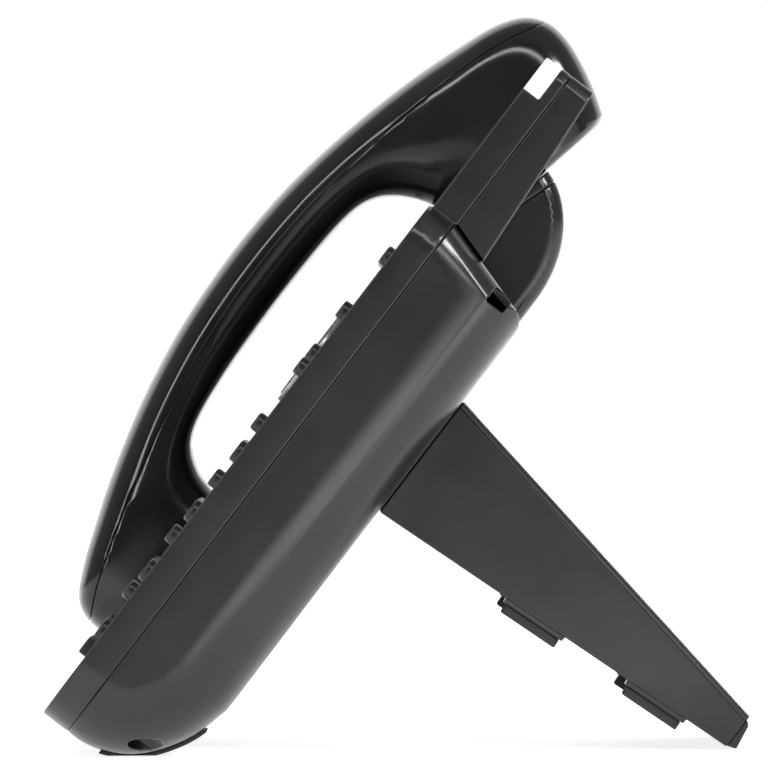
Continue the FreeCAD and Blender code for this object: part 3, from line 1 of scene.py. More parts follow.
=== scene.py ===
import json
import math
import bmesh
import bpy
from mathutils import Matrix, Vector


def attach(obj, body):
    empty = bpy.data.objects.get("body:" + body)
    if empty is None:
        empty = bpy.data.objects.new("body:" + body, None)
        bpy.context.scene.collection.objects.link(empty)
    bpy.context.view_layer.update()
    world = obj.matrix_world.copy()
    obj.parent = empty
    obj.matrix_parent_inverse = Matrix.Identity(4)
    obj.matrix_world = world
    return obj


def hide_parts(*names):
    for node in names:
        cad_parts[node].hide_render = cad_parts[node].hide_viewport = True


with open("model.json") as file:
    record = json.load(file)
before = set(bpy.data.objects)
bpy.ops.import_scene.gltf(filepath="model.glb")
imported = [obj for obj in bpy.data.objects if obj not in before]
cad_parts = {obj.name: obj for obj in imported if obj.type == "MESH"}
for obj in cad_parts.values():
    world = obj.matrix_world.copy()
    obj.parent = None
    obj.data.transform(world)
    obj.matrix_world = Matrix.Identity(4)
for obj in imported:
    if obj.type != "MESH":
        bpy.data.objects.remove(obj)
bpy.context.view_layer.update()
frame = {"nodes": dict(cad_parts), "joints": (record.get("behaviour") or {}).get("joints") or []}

# Millimetres of the flat telephone: x to the user's right, y up the face, z out of the face.
# FLAT turns them into metres of the standing telephone, from the directions of two slides.
MM = 0.001
joints = {j["name"]: j for j in frame["joints"]}
OUT = Vector(joints["handset_lift"]["axis"])
UP = Vector(joints["stand_release"]["axis"])
RIGHTWARD = Vector((1, 0, 0))
ROCKER_AT = (78.0, 20.9, -3.9)
ORIGIN = Vector(joints["volume_rock"]["pos_m"]) - MM * (
    ROCKER_AT[0] * RIGHTWARD + ROCKER_AT[1] * UP + ROCKER_AT[2] * OUT
)
FLAT = Matrix((
    (RIGHTWARD.x * MM, UP.x * MM, OUT.x * MM, ORIGIN.x),
    (RIGHTWARD.y * MM, UP.y * MM, OUT.y * MM, ORIGIN.y),
    (RIGHTWARD.z * MM, UP.z * MM, OUT.z * MM, ORIGIN.z),
    (0, 0, 0, 1),
))

# Layout of the face, in flat millimetres.
SIDE_X, ROCKER_Y = ROCKER_AT[:2]
SIDE_PITCH = 18.4
DIAL_AT = (14.0, 25.4)          # middle key of the lowest row
DIAL_PITCH = (25.0, 19.8)
NAV_AT = (14.0, 117.5)
MESSAGE_X = -23.0
CONFERENCE_X = 46.0
SOFT_AT = (33.5, 149.5)
SOFT_PITCH = 26.0
DIAL_KEY = (15.0, 6.5, 2.0)     # width, length, height above the face
SIDE_KEY = (14.0, 5.2, 2.3)
SOFT_KEY = (17.0, 5.5, 1.9)
LEGEND_DISH = 0.35
PLAIN_DISH = 0.15
LEGEND_SIZE = 4.0
LEGEND_RISE = 0.02
CONTACT_PITCH = 1.02
CONTACT_SECTION = (0.42, 0.22)
HANDSET_X = -70.5
HANDSET_HALF_WIDTH = 25.0
HANDSET_HANDLE_HALF = 21.0


# ---- camera, light, floor

CAMERA_AT = (3.103, -0.0031, 0.0972)
CAMERA_ROLL = -0.344
CAMERA_LENS = 541
CAMERA_SENSOR = 36
CAMERA_REACH = 40
PANEL_AT = (0.42, 0.22, 0.0005)   # lies on the floor and shines up at the rolled edge of the body
PANEL_TARGET = (0.42, 0.22, 1)
PANEL_SIZE = (0.36, 0.5)
PANEL_POWER = 1.1
END_LIGHT_AT = (1.0, 1.35, 1.02)  # shines on the upper end of the body
END_LIGHT_TARGET = (0.1, 0.05, 0.12)
END_LIGHT_SIZE = (0.45, 0.3)
END_LIGHT_POWER = 16.0
ROOM_BACK = 0.35
ROOM_FRONT = 0.1
WALL_LIGHT = 0.8
RING_AT = 0.83                    # x of a ray's direction where it meets the ring of lights
RING_HALF = 0.03
RING_LIGHT = 9.0
FLOOR_RADIUS = 30
FLOOR_LOW = 0.0003                # below the feet


def camera():
    data = bpy.data.cameras.new("camera")
    data.lens = CAMERA_LENS
    data.sensor_width = CAMERA_SENSOR
    data.clip_end = CAMERA_REACH
    thing = bpy.data.objects.new("camera", data)
    bpy.context.scene.collection.objects.link(thing)
    level = Matrix.Rotation(math.radians(90), 4, "Z") @ Matrix.Rotation(math.radians(90), 4, "X")
    roll = Matrix.Rotation(math.radians(CAMERA_ROLL), 4, "Z")
    thing.matrix_world = Matrix.Translation(CAMERA_AT) @ level @ roll
    bpy.context.scene.camera = thing


def softbox(name, place, target, size, power):
    data = bpy.data.lights.new(name, "AREA")
    data.shape = "RECTANGLE"
    data.size, data.size_y = size
    data.energy = power
    thing = bpy.data.objects.new(name, data)
    bpy.context.scene.collection.objects.link(thing)
    aim = (Vector(target) - Vector(place)).to_track_quat("-Z", "Y")
    thing.matrix_world = Matrix.Translation(place) @ aim.to_matrix().to_4x4()


def ramp(tree, value, start, stop, low, high):
    """value mapped smoothly from start..stop to low..high."""
    node = tree.nodes.new("ShaderNodeMapRange")
    node.interpolation_type = "SMOOTHSTEP"
    for name, number in (("From Min", start), ("From Max", stop), ("To Min", low), ("To Max", high)):
        node.inputs[name].default_value = number
    tree.links.new(value, node.inputs["Value"])
    return node.outputs["Result"]


def combined(tree, operation, a, b):
    """The result of a maths node; a and b are numbers or sockets."""
    node = tree.nodes.new("ShaderNodeMath")
    node.operation = operation
    for socket, value in zip(node.inputs, (a, b)):
        if isinstance(value, (int, float)):
            socket.default_value = value
        else:
            tree.links.new(value, socket)
    return node.outputs[0]


def studio():
    """A dim room with a white wall behind the telephone and a ring of strip lights round the camera."""
    world = bpy.data.worlds.new("room")
    bpy.context.scene.world = world
    world.use_nodes = True
    tree = world.node_tree
    tree.nodes.clear()
    coords = tree.nodes.new("ShaderNodeTexCoord")
    split = tree.nodes.new("ShaderNodeSeparateXYZ")
    tree.links.new(coords.outputs["Generated"], split.inputs[0])
    x, z = split.outputs["X"], split.outputs["Z"]
    room = ramp(tree, x, 0.5, 0.75, ROOM_BACK, ROOM_FRONT)
    wall = ramp(tree, x, -0.75, -0.55, WALL_LIGHT, 0.0)
    away = combined(tree, "ABSOLUTE", combined(tree, "SUBTRACT", x, RING_AT), 0.0)
    lit = ramp(tree, away, RING_HALF * 0.6, RING_HALF * 1.4, RING_LIGHT, 0.0)
    ring = combined(tree, "MULTIPLY", lit, ramp(tree, z, -0.3, 0.0, 0.0, 1.0))
    strength = combined(tree, "ADD", combined(tree, "ADD", room, wall), ring)
    light = tree.nodes.new("ShaderNodeBackground")
    seen = tree.nodes.new("ShaderNodeBackground")
    path = tree.nodes.new("ShaderNodeLightPath")
    mix = tree.nodes.new("ShaderNodeMixShader")
    out = tree.nodes.new("ShaderNodeOutputWorld")
    tree.links.new(strength, light.inputs["Strength"])
    tree.links.new(path.outputs["Is Camera Ray"], mix.inputs[0])
    tree.links.new(light.outputs[0], mix.inputs[1])
    tree.links.new(seen.outputs[0], mix.inputs[2])
    tree.links.new(mix.outputs[0], out.inputs[0])
    for background in (light, seen):
        background.inputs["Color"].default_value = (1, 1, 1, 1)
    softbox("light_panel", PANEL_AT, PANEL_TARGET, PANEL_SIZE, PANEL_POWER)
    softbox("box_end", END_LIGHT_AT, END_LIGHT_TARGET, END_LIGHT_SIZE, END_LIGHT_POWER)
    bpy.context.scene.view_settings.view_transform = "Standard"


def floor():
    """A wide paper floor just under the feet."""
    mesh = bpy.data.meshes.new("floor")
    made = bmesh.new()
    bmesh.ops.create_circle(made, cap_ends=True, radius=FLOOR_RADIUS, segments=64)
    made.to_mesh(mesh)
    made.free()
    thing = bpy.data.objects.new("floor", mesh)
    thing.location.z = -FLOOR_LOW
    bpy.context.scene.collection.objects.link(thing)
    thing.data.materials.append(paper())


# ---- materials

class Shader:
    """A node material with short calls for the nodes that every finish uses; noise scales are per metre."""

    def __init__(self, name):
        self.material = bpy.data.materials.new(name)
        self.material.use_nodes = True
        self.tree = self.material.node_tree
        self.tree.nodes.clear()
        self.out = self.tree.nodes.new("ShaderNodeOutputMaterial")
        self.bsdf = self.tree.nodes.new("ShaderNodeBsdfPrincipled")
        self.link(self.bsdf.outputs[0], self.out.inputs[0])
        coords = self.tree.nodes.new("ShaderNodeTexCoord")
        self.place = coords.outputs["Object"]

    def link(self, a, b):
        self.tree.links.new(a, b)

    def set(self, **values):
        for name, value in values.items():
            self.bsdf.inputs[name.replace("_", " ")].default_value = value

    def noise(self, scale, detail=3.0, rough=0.55):
        node = self.tree.nodes.new("ShaderNodeTexNoise")
        node.inputs["Scale"].default_value = scale
        node.inputs["Detail"].default_value = detail
        node.inputs["Roughness"].default_value = rough
        self.link(self.place, node.inputs["Vector"])
        return node.outputs["Fac"]

    def range(self, value, low, high, start=0.0, stop=1.0):
        node = self.tree.nodes.new("ShaderNodeMapRange")
        node.inputs["From Min"].default_value = start
        node.inputs["From Max"].default_value = stop
        node.inputs["To Min"].default_value = low
        node.inputs["To Max"].default_value = high
        self.link(value, node.inputs["Value"])
        return node.outputs["Result"]

    def mix(self, factor, first, second):
        node = self.tree.nodes.new("ShaderNodeMix")
        node.data_type = "RGBA"
        self.link(factor, node.inputs["Factor"])
        for value, name in ((first, "A"), (second, "B")):
            socket = [s for s in node.inputs if s.name == name and s.type == "RGBA"][0]
            if isinstance(value, tuple):
                socket.default_value = (*value, 1)
            else:
                self.link(value, socket)
        return [s for s in node.outputs if s.type == "RGBA"][0]

    def math(self, operation, a, b):
        return combined(self.tree, operation, a, b)

    def bump(self, *layers):
        """Adds height layers, each a value and its depth in millimetres."""
        normal = None
        for height, depth in layers:
            node = self.tree.nodes.new("ShaderNodeBump")
            node.inputs["Strength"].default_value = 1.0
            node.inputs["Distance"].default_value = depth * MM
            self.link(height, node.inputs["Height"])
            if normal is not None:
                self.link(normal, node.inputs["Normal"])
            normal = node.outputs["Normal"]
        self.link(normal, self.bsdf.inputs["Normal"])

    def edges(self, reach):
        """1 on sharp edges, 0 away from them; reach is in millimetres."""
        rounded = self.tree.nodes.new("ShaderNodeBevel")
        rounded.samples = 4
        rounded.inputs["Radius"].default_value = reach * MM
        plain = self.tree.nodes.new("ShaderNodeNewGeometry")
        dot = self.tree.nodes.new("ShaderNodeVectorMath")
        dot.operation = "DOT_PRODUCT"
        self.link(rounded.outputs[0], dot.inputs[0])
        self.link(plain.outputs["Normal"], dot.inputs[1])
        return self.range(dot.outputs["Value"], 1.0, 0.0, 0.75, 0.99)


def plastic(name, colour, rough, grain, depth):
    """Moulded plastic: spark-eroded grain, faint cloudiness, handled patches, and lighter edges that are
    partly wear and partly a painted highlight.
    """
    s = Shader(name)
    cloud = s.noise(38, 4)
    fine = s.noise(grain, 2, 0.5)
    patches = s.noise(90, 5, 0.6)
    light = tuple(c * 1.3 + 0.002 for c in colour)
    dark = tuple(c * 0.8 for c in colour)
    base = s.mix(s.range(cloud, 0, 1, 0.3, 0.7), dark, light)
    specks = s.range(s.noise(grain * 0.6, 1), 0, 0.35, 0.62, 0.75)
    base = s.mix(specks, base, tuple(c * 1.6 + 0.004 for c in colour))
    # lighter colour on sharp edges within handled patches: partly wear, partly a painted highlight along
    # the edges
    wear_and_edge_highlight = s.math("MULTIPLY", s.edges(0.5), s.range(patches, 0.25, 0.5, 0.35, 0.65))
    s.link(s.mix(wear_and_edge_highlight, base, tuple(c * 2.6 + 0.03 for c in colour)), s.bsdf.inputs["Base Color"])
    s.link(s.range(patches, rough - 0.03, rough + 0.04, 0.3, 0.7), s.bsdf.inputs["Roughness"])
    s.bump((fine, depth), (s.noise(400, 2), depth * 1.5))
    s.set(IOR=1.5)
    return s.material


def paper():
    """White paper, lit from below near the telephone and fading towards the camera."""
    s = Shader("floor_paper")
    s.link(s.mix(s.noise(6), (0.93, 0.93, 0.93), (0.96, 0.96, 0.96)), s.bsdf.inputs["Base Color"])
    s.link(s.range(s.noise(30), 0.7, 0.85), s.bsdf.inputs["Roughness"])
    split = s.tree.nodes.new("ShaderNodeSeparateXYZ")
    s.link(s.place, split.inputs[0])
    s.link(ramp(s.tree, split.outputs["X"], 0.25, 0.8, 0.8, 0.15), s.bsdf.inputs["Emission Strength"])
    s.set(Emission_Color=(1, 1, 1, 1))
    return s.material


# ---- mesh work

WELD = 0.002          # corners this close are one, in millimetres
FLAT_WITHIN = 0.15    # degrees between faces that count as one
SHARP_FROM = 28       # degrees from which an edge is rounded


def piece(name, mesh, body, material):
    """A new object of this mesh that rides on a body and takes its finish from a slot."""
    thing = bpy.data.objects.new(name, mesh)
    bpy.context.scene.collection.objects.link(thing)
    mesh.materials.clear()
    mesh.materials.append(material)
    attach(thing, body)
    return thing


def softened(node, body, material, width):
    """The CAD node's form with its flat faces cleaned and every sharp edge rounded."""
    made = bmesh.new()
    made.from_mesh(frame["nodes"][node].data)
    bmesh.ops.remove_doubles(made, verts=made.verts, dist=WELD * MM)
    bmesh.ops.dissolve_limit(
        made, angle_limit=math.radians(FLAT_WITHIN), verts=made.verts, edges=made.edges, delimit=set(),
    )
    name = node + "_form"
    mesh = bpy.data.meshes.new(name)
    made.to_mesh(mesh)
    made.free()
    for attribute in ("custom_normal", "sharp_edge", "sharp_face"):
        if attribute in mesh.attributes:
            mesh.attributes.remove(mesh.attributes[attribute])
    mesh.shade_smooth()
    thing = piece(name, mesh, body, material)
    bevel = thing.modifiers.new("edges", "BEVEL")
    bevel.width = width * MM
    bevel.segments = 2
    bevel.limit_method = "ANGLE"
    bevel.angle_limit = math.radians(SHARP_FROM)
    bevel.use_clamp_overlap = False
    bevel.loop_slide = False
    bevel.miter_outer = "MITER_ARC"
    normals = thing.modifiers.new("normals", "WEIGHTED_NORMAL")
    normals.keep_sharp = False
    normals.weight = 50
    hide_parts(node)


def metal(name, colour, rough, grain):
    """Bare or plated metal with uneven tone and fine grain."""
    s = Shader(name)
    s.link(s.mix(s.noise(140, 4), colour, tuple(c * 0.75 for c in colour)), s.bsdf.inputs["Base Color"])
    s.link(s.range(s.noise(grain, 2), rough - 0.06, rough + 0.08), s.bsdf.inputs["Roughness"])
    s.bump((s.noise(grain, 2), 0.004), (s.noise(500), 0.006))
    s.set(Metallic=1.0)
    return s.material


def board(name):
    """Green solder mask over faint copper tracks."""
    s = Shader(name)
    tracks = s.tree.nodes.new("ShaderNodeTexBrick")
    tracks.inputs["Scale"].default_value = 260
    tracks.inputs["Mortar Size"].default_value = 0.06
    s.link(s.place, tracks.inputs["Vector"])
    base = s.mix(tracks.outputs["Fac"], (0.008, 0.075, 0.03), (0.02, 0.14, 0.06))
    s.link(base, s.bsdf.inputs["Base Color"])
    s.link(s.range(s.noise(300), 0.25, 0.4), s.bsdf.inputs["Roughness"])
    s.bump((tracks.outputs["Fac"], 0.02))
    return s.material


def screen(name):
    """Grey reflective liquid crystal with its dot grid."""
    s = Shader(name)
    dots = s.tree.nodes.new("ShaderNodeTexBrick")
    dots.offset = 0
    dots.inputs["Scale"].default_value = 1200
    dots.inputs["Mortar Size"].default_value = 0.05
    dots.inputs["Brick Width"].default_value = 0.5
    dots.inputs["Row Height"].default_value = 0.5
    s.link(s.place, dots.inputs["Vector"])
    base = s.mix(s.noise(25), (0.19, 0.22, 0.19), (0.23, 0.26, 0.22))
    s.link(s.mix(dots.outputs["Fac"], base, (0.15, 0.17, 0.15)), s.bsdf.inputs["Base Color"])
    s.link(s.range(s.noise(120), 0.3, 0.42), s.bsdf.inputs["Roughness"])
    return s.material


def clear(name):
    """Tinted polished window with faint rub marks."""
    s = Shader(name)
    s.link(s.mix(s.noise(60), (0.012, 0.013, 0.015), (0.02, 0.021, 0.024)), s.bsdf.inputs["Base Color"])
    s.link(s.range(s.noise(220, 5), 0.03, 0.10, 0.45, 0.75), s.bsdf.inputs["Roughness"])
    s.bump((s.noise(35, 1), 0.01))
    s.set(Alpha=0.42)
    return s.material


def ink(name, colour):
    """Printed marks, slightly uneven."""
    s = Shader(name)
    s.link(s.mix(s.noise(900), colour, tuple(c * 0.8 for c in colour)), s.bsdf.inputs["Base Color"])
    s.link(s.range(s.noise(1500), 0.4, 0.6), s.bsdf.inputs["Roughness"])
    return s.material


def frosted(name):
    """Milky lamp cover that lets a little light into its body."""
    s = Shader(name)
    s.link(s.mix(s.noise(70), (0.88, 0.88, 0.87), (0.93, 0.93, 0.92)), s.bsdf.inputs["Base Color"])
    s.link(s.range(s.noise(900), 0.35, 0.5), s.bsdf.inputs["Roughness"])
    s.bump((s.noise(3000, 2), 0.006))
    s.set(Subsurface_Weight=0.3, Subsurface_Scale=0.002)
    s.bsdf.inputs["Subsurface Radius"].default_value = (1, 1, 1)
    return s.material


# ---- curves and lofts

def smooth(points, steps):
    """A curve through points of any dimension, centripetal Catmull-Rom, steps points to a span."""
    points = [Vector(p) for p in points]
    points = [2 * points[0] - points[1], *points, 2 * points[-1] - points[-2]]
    found = []
    for p0, p1, p2, p3 in zip(points, points[1:], points[2:], points[3:]):
        t0 = 0.0
        t1 = t0 + max((p1 - p0).length ** 0.5, 1e-6)
        t2 = t1 + max((p2 - p1).length ** 0.5, 1e-6)
        t3 = t2 + max((p3 - p2).length ** 0.5, 1e-6)
        for i in range(steps):
            t = t1 + (t2 - t1) * i / steps
            a1 = p0 * ((t1 - t) / (t1 - t0)) + p1 * ((t - t0) / (t1 - t0))
            a2 = p1 * ((t2 - t) / (t2 - t1)) + p2 * ((t - t1) / (t2 - t1))
            a3 = p2 * ((t3 - t) / (t3 - t2)) + p3 * ((t - t2) / (t3 - t2))
            b1 = a1 * ((t2 - t) / (t2 - t0)) + a2 * ((t - t0) / (t2 - t0))
            b2 = a2 * ((t3 - t) / (t3 - t1)) + a3 * ((t - t1) / (t3 - t1))
            found.append(b1 * ((t2 - t) / (t2 - t1)) + b2 * ((t - t1) / (t2 - t1)))
    found.append(points[-2])
    return found


def loft(name, *skins):
    """A mesh of one or more closed skins, each a list of rings that is capped at both ends."""
    made = bmesh.new()
    for rings, inward in skins:
        rows = [[made.verts.new(p) for p in ring] for ring in rings]
        count = len(rows[0])
        faces = []
        for a, b in zip(rows, rows[1:]):
            for i in range(count):
                j = (i + 1) % count
                faces.append(made.faces.new((a[i], a[j], b[j], b[i])))
        for row, turn in ((rows[0], -1), (rows[-1], 1)):
            middle = made.verts.new(sum((v.co for v in row), Vector()) / count)
            for i in range(count):
                j = (i + turn) % count
                faces.append(made.faces.new((row[i], row[j], middle)))
        if inward:
            bmesh.ops.reverse_faces(made, faces=faces)
    for face in made.faces:
        face.smooth = True
    mesh = bpy.data.meshes.new(name)
    made.to_mesh(mesh)
    made.free()
    return mesh


def flat_block(x0, x1, y0, y1, z0, z1):
    """A block between limits, as one skin for loft()."""
    rings = []
    for z in (z0, z1):
        rings.append([Vector(p) for p in ((x0, y0, z), (x1, y0, z), (x1, y1, z), (x0, y1, z))])
    return rings, False


def drum(x, y, z0, z1, radius, sides=24):
    """A cylinder along z, as one skin for loft()."""
    rings = []
    for z in (z0, z1):
        ring = []
        for i in range(sides):
            a = 2 * math.pi * i / sides
            ring.append(Vector((x + radius * math.cos(a), y + radius * math.sin(a), z)))
        rings.append(ring)
    return rings, False


def boolean(mesh, operation, cutter):
    """mesh after an exact boolean with cutter; both are used up."""
    objects = []
    for data in (mesh, cutter):
        thing = bpy.data.objects.new("working", data)
        bpy.context.scene.collection.objects.link(thing)
        objects.append(thing)
    change = objects[0].modifiers.new("cut", "BOOLEAN")
    change.operation = operation
    change.object = objects[1]
    change.solver = "EXACT"
    change.use_hole_tolerant = False
    bpy.context.view_layer.update()
    seen = objects[0].evaluated_get(bpy.context.evaluated_depsgraph_get())
    result = bpy.data.meshes.new_from_object(seen)
    for thing in objects:
        data = thing.data
        bpy.data.objects.remove(thing)
        bpy.data.meshes.remove(data)
    return result


def stood(mesh):
    """Turns a mesh drawn in flat millimetres into metres of the standing telephone."""
    mesh.transform(FLAT)
    return mesh


def smoothed_by_angle(mesh, degrees):
    """Smooth shading, with edges sharper than this left sharp."""
    mesh.shade_smooth()
    mesh.set_sharp_from_angle(angle=math.radians(degrees))


# ---- handset

def handset_ribs():
    """Cross sections from the mouth face over the handle to the ear face.

    Each is the outer and inner end of the section in the side view, its half width,
    and how square it is."""
    cup = HANDSET_HALF_WIDTH
    grip = HANDSET_HANDLE_HALF
    return [
        ((22.6, -7.2), (68.0, -7.3), cup - 0.6, 4.2),
        ((21.5, -3.5), (69.4, -3.6), cup - 0.2, 4.2),
        ((21.3, 2.6), (71.0, 2.6), cup, 4.2),
        ((22.0, 7.8), (72.6, 7.2), cup, 4.1),
        ((24.6, 12.0), (74.9, 10.6), cup - 0.1, 4.0),
        ((31.8, 16.1), (77.4, 12.9), cup - 0.4, 3.8),
        ((43.6, 20.8), (80.8, 14.6), cup - 1.1, 3.5),
        ((59.5, 26.2), (86.4, 15.9), cup - 2.2, 3.2),
        ((78.5, 31.2), (94.6, 16.8), grip + 0.9, 3.0),
        ((100.5, 34.9), (105.0, 17.5), grip + 0.2, 2.9),
        ((125.5, 36.3), (124.5, 17.9), grip, 2.9),
        ((150.0, 35.0), (144.6, 17.4), grip + 0.2, 2.9),
        ((171.5, 31.4), (155.4, 16.1), grip + 0.9, 3.0),
        ((191.5, 26.4), (161.2, 13.6), cup - 2.2, 3.2),
        ((208.6, 20.7), (164.9, 9.8), cup - 1.1, 3.5),
        ((219.6, 16.2), (167.2, 6.0), cup - 0.4, 3.8),
        ((226.0, 11.2), (168.8, 2.4), cup - 0.1, 4.0),
        ((228.5, 5.2), (170.0, -1.4), cup, 4.1),
        ((227.9, -1.4), (171.0, -5.0), cup, 4.2),
        ((225.2, -8.6), (172.0, -8.4), cup - 0.1, 4.2),
        ((221.2, -16.2), (172.7, -10.8), cup - 0.4, 4.2),
        ((217.6, -21.6), (173.2, -12.6), cup - 1.2, 4.2),
    ]


HANDSET_SEAM = (
    (22.1, 5.8), (32.0, 10.4), (48.5, 15.6), (70.5, 21.3), (97.0, 25.8), (125.5, 27.5),
    (158.0, 25.4), (191.5, 19.5), (213.5, 13.2), (228.6, 5.8),
)
HANDSET_WALL = 2.0
EAR_SLOPE = 0.2518
EAR_MIDDLE = 198.25
EAR_START = (173.0, -13.0)     # lower end of the ear face: up the face, and out of it
RING_POINTS = 88
SEAM_GAP = 0.4
SEAM_STEPS = 6
UPPER_RIM = 0.2                # rounding of the seam's rim on each shell
LOWER_RIM = 0.35
TONGUE_OUTER = 0.9             # the tongue's faces, inside the handset's surface
TONGUE_INNER = 2.8
TONGUE_REACH = 3.0
END_EDGE = ((5.0, 0.9), (2.6, 0.8), (1.1, 0.5), (0.3, 0.15))   # inset, rise of an end face
HOLE_RINGS = ((6, 4.2), (12, 8.0))                             # count, radius
MIC_PITCH = 3.4
MIC_Y = 45.9
SOCKET_HALF = 3.9
BLOCK_ENDS = (-20, 270)        # a cutting block's ends, well past the handset's
PAST_SIDES = 40
PAST_FACES = 60.0
END_FALL = 9                   # fall of the seam's line from its ends to the block's


def rib_ring(outer, inner, half, square, lift=0.0):
    """A superellipse that stands across the handset; lift moves it along its own axis."""
    outer, inner = Vector(outer), Vector(inner)
    middle = (outer + inner) / 2
    reach = (inner - outer).length / 2
    along = (inner - outer).normalized()
    axis = Vector((-along.y, along.x))
    ring = []
    for i in range(RING_POINTS):
        a = 2 * math.pi * i / RING_POINTS
        c, s = math.cos(a), math.sin(a)
        u = half * math.copysign(abs(c) ** (2 / square), c)
        v = reach * math.copysign(abs(s) ** (2 / square), s)
        p = middle + along * v + axis * lift
        ring.append(Vector((HANDSET_X + u, p.x, p.y)))
    return ring


def handset_skin(inset, steps):
    """Rings of the whole handset, drawn in by inset, with a rounded edge on both end faces."""
    stations = []
    for outer, inner, half, square in handset_ribs():
        outer, inner = Vector(outer), Vector(inner)
        along = (inner - outer).normalized()
        a = outer + along * inset
        b = inner - along * inset
        stations.append((a.x, a.y, b.x, b.y, half - inset, square))
    stations = smooth(stations, steps)
    rings = []
    first, last = stations[0], stations[-1]
    for shrink, lift in END_EDGE:
        rings.append(shrunk(first, shrink, -(lift - inset)))
    for s in stations:
        rings.append(rib_ring(s[0:2], s[2:4], s[4], s[5]))
    for shrink, lift in reversed(END_EDGE):
        rings.append(shrunk(last, shrink, lift * 1.8 - inset))
    return rings


def shrunk(station, shrink, lift):
    """The ring at a station, drawn in by shrink and moved along its axis by lift."""
    outer, inner = Vector(station[0:2]), Vector(station[2:4])
    along = (inner - outer).normalized() * shrink
    return rib_ring(outer + along, inner - along, station[4] - shrink, station[5], lift)


def seam_side(above, gap):
    """A block that holds everything on one side of the handset's seam."""
    line = smooth(HANDSET_SEAM, SEAM_STEPS)
    shift = gap / 2 if above else -gap / 2
    far = PAST_FACES if above else -PAST_FACES
    start, stop = BLOCK_ENDS
    line = [Vector((start, line[0].y - END_FALL)), *line, Vector((stop, line[-1].y - END_FALL))]
    x0, x1 = HANDSET_X - PAST_SIDES, HANDSET_X + PAST_SIDES
    made = bmesh.new()
    columns = []
    for p in line:
        column = []
        for x, z in ((x0, p.y + shift), (x1, p.y + shift), (x1, far), (x0, far)):
            column.append(made.verts.new((x, p.x, z)))
        columns.append(column)
    for a, b in zip(columns, columns[1:]):
        for i in range(4):
            j = (i + 1) % 4
            made.faces.new((a[i], a[j], b[j], b[i]))
    made.faces.new(columns[0])
    made.faces.new(columns[-1])
    bmesh.ops.recalc_face_normals(made, faces=made.faces)
    mesh = bpy.data.meshes.new("seam_side")
    made.to_mesh(mesh)
    made.free()
    return mesh


def on_ear_face(skin):
    """Moves a skin drawn about the origin, +z inwards, to the middle of the ear face."""
    rings, inward = skin
    z = EAR_START[1] - EAR_SLOPE * (EAR_MIDDLE - EAR_START[0])
    tilt = Matrix.Rotation(-math.atan(EAR_SLOPE), 4, "X")
    turn = Matrix.Translation((HANDSET_X, EAR_MIDDLE, z)) @ tilt
    return [[turn @ p for p in ring] for ring in rings], inward


def handset_holes():
    """Receiver holes, microphone holes and the cord's socket."""
    skins = [on_ear_face(drum(0, 0, -4, 4, 1.1))]
    for count, radius in HOLE_RINGS:
        for i in range(count):
            a = 2 * math.pi * i / count
            hole = drum(radius * math.cos(a), radius * math.sin(a), -4, 4, 0.9, 16)
            skins.append(on_ear_face(hole))
    for i in (-1, 0, 1):
        skins.append(drum(HANDSET_X + MIC_PITCH * i, MIC_Y, -12, -4, 0.8, 16))
    skins.append(flat_block(HANDSET_X - SOCKET_HALF, HANDSET_X + SOCKET_HALF, 15, 24, -4.4, 2.0))
    return loft("holes", *skins)


def handset():
    """Two shells that meet along the seam, and the tongue that joins them inside."""
    skins = ((handset_skin(0, 4), False), (handset_skin(HANDSET_WALL, 3), True))
    whole = loft("handset_upper_shell", *skins)
    upper = boolean(whole, "INTERSECT", seam_side(True, SEAM_GAP))
    upper = eased_seam(upper, SEAM_GAP / 2, UPPER_RIM)
    lower = boolean(loft("handset_lower_shell", *skins), "INTERSECT", seam_side(False, SEAM_GAP))
    lower = eased_seam(lower, -SEAM_GAP / 2, LOWER_RIM)
    lower = boolean(lower, "DIFFERENCE", handset_holes())
    for mesh, name, node in (
        (upper, "handset_upper_shell", "handset_outer_shell"),
        (lower, "handset_lower_shell", "handset_inner_shell"),
    ):
        smoothed_by_angle(mesh, 35)
        thing = piece(name, stood(mesh), "handset", HANDSET)
        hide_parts(node)
    skins = ((handset_skin(TONGUE_OUTER, 3), False), (handset_skin(TONGUE_INNER, 3), True))
    tongue = loft("handset_tongue", *skins)
    tongue = boolean(tongue, "INTERSECT", tongue_band())
    smoothed_by_angle(tongue, 35)
    piece("handset_tongue", stood(tongue), "handset", HANDSET)


def eased_seam(mesh, shift, width):
    """Rounds the outer edge of a shell where it was cut along the seam, moved by shift."""
    line = smooth(HANDSET_SEAM, SEAM_STEPS)

    def on_cut(co):
        for a, b in zip(line, line[1:]):
            if a.x <= co.y <= b.x:
                return abs(co.z - shift - a.y - (b.y - a.y) * (co.y - a.x) / (b.x - a.x)) < 0.03
        end = line[0] if co.y < line[0].x else line[-1]
        return abs(co.z - end.y) < 2.0 and abs(co.y - end.x) < 1.5

    made = bmesh.new()
    made.from_mesh(mesh)
    bmesh.ops.remove_doubles(made, verts=made.verts, dist=WELD)
    cut = {face for face in made.faces if all(on_cut(v.co) for v in face.verts)}
    rim = []
    for edge in made.edges:
        if len(edge.link_faces) != 2 or len(cut.intersection(edge.link_faces)) != 1:
            continue
        middle = (edge.verts[0].co + edge.verts[1].co) / 2
        face = [f for f in edge.link_faces if f not in cut][0]
        outward = face.normal.x * (middle.x - HANDSET_X) + face.normal.y * (middle.y - 125)
        if outward > 0:
            rim.append(edge)
    bmesh.ops.bevel(
        made, geom=rim, offset=width, segments=2, profile=0.5, affect="EDGES", clamp_overlap=True,
    )
    made.to_mesh(mesh)
    made.free()
    return mesh


def tongue_band():
    """The space within a short way of the handset's seam."""
    lower = seam_side(False, -TONGUE_REACH)
    return boolean(lower, "INTERSECT", seam_side(True, -TONGUE_REACH))


# ---- keys

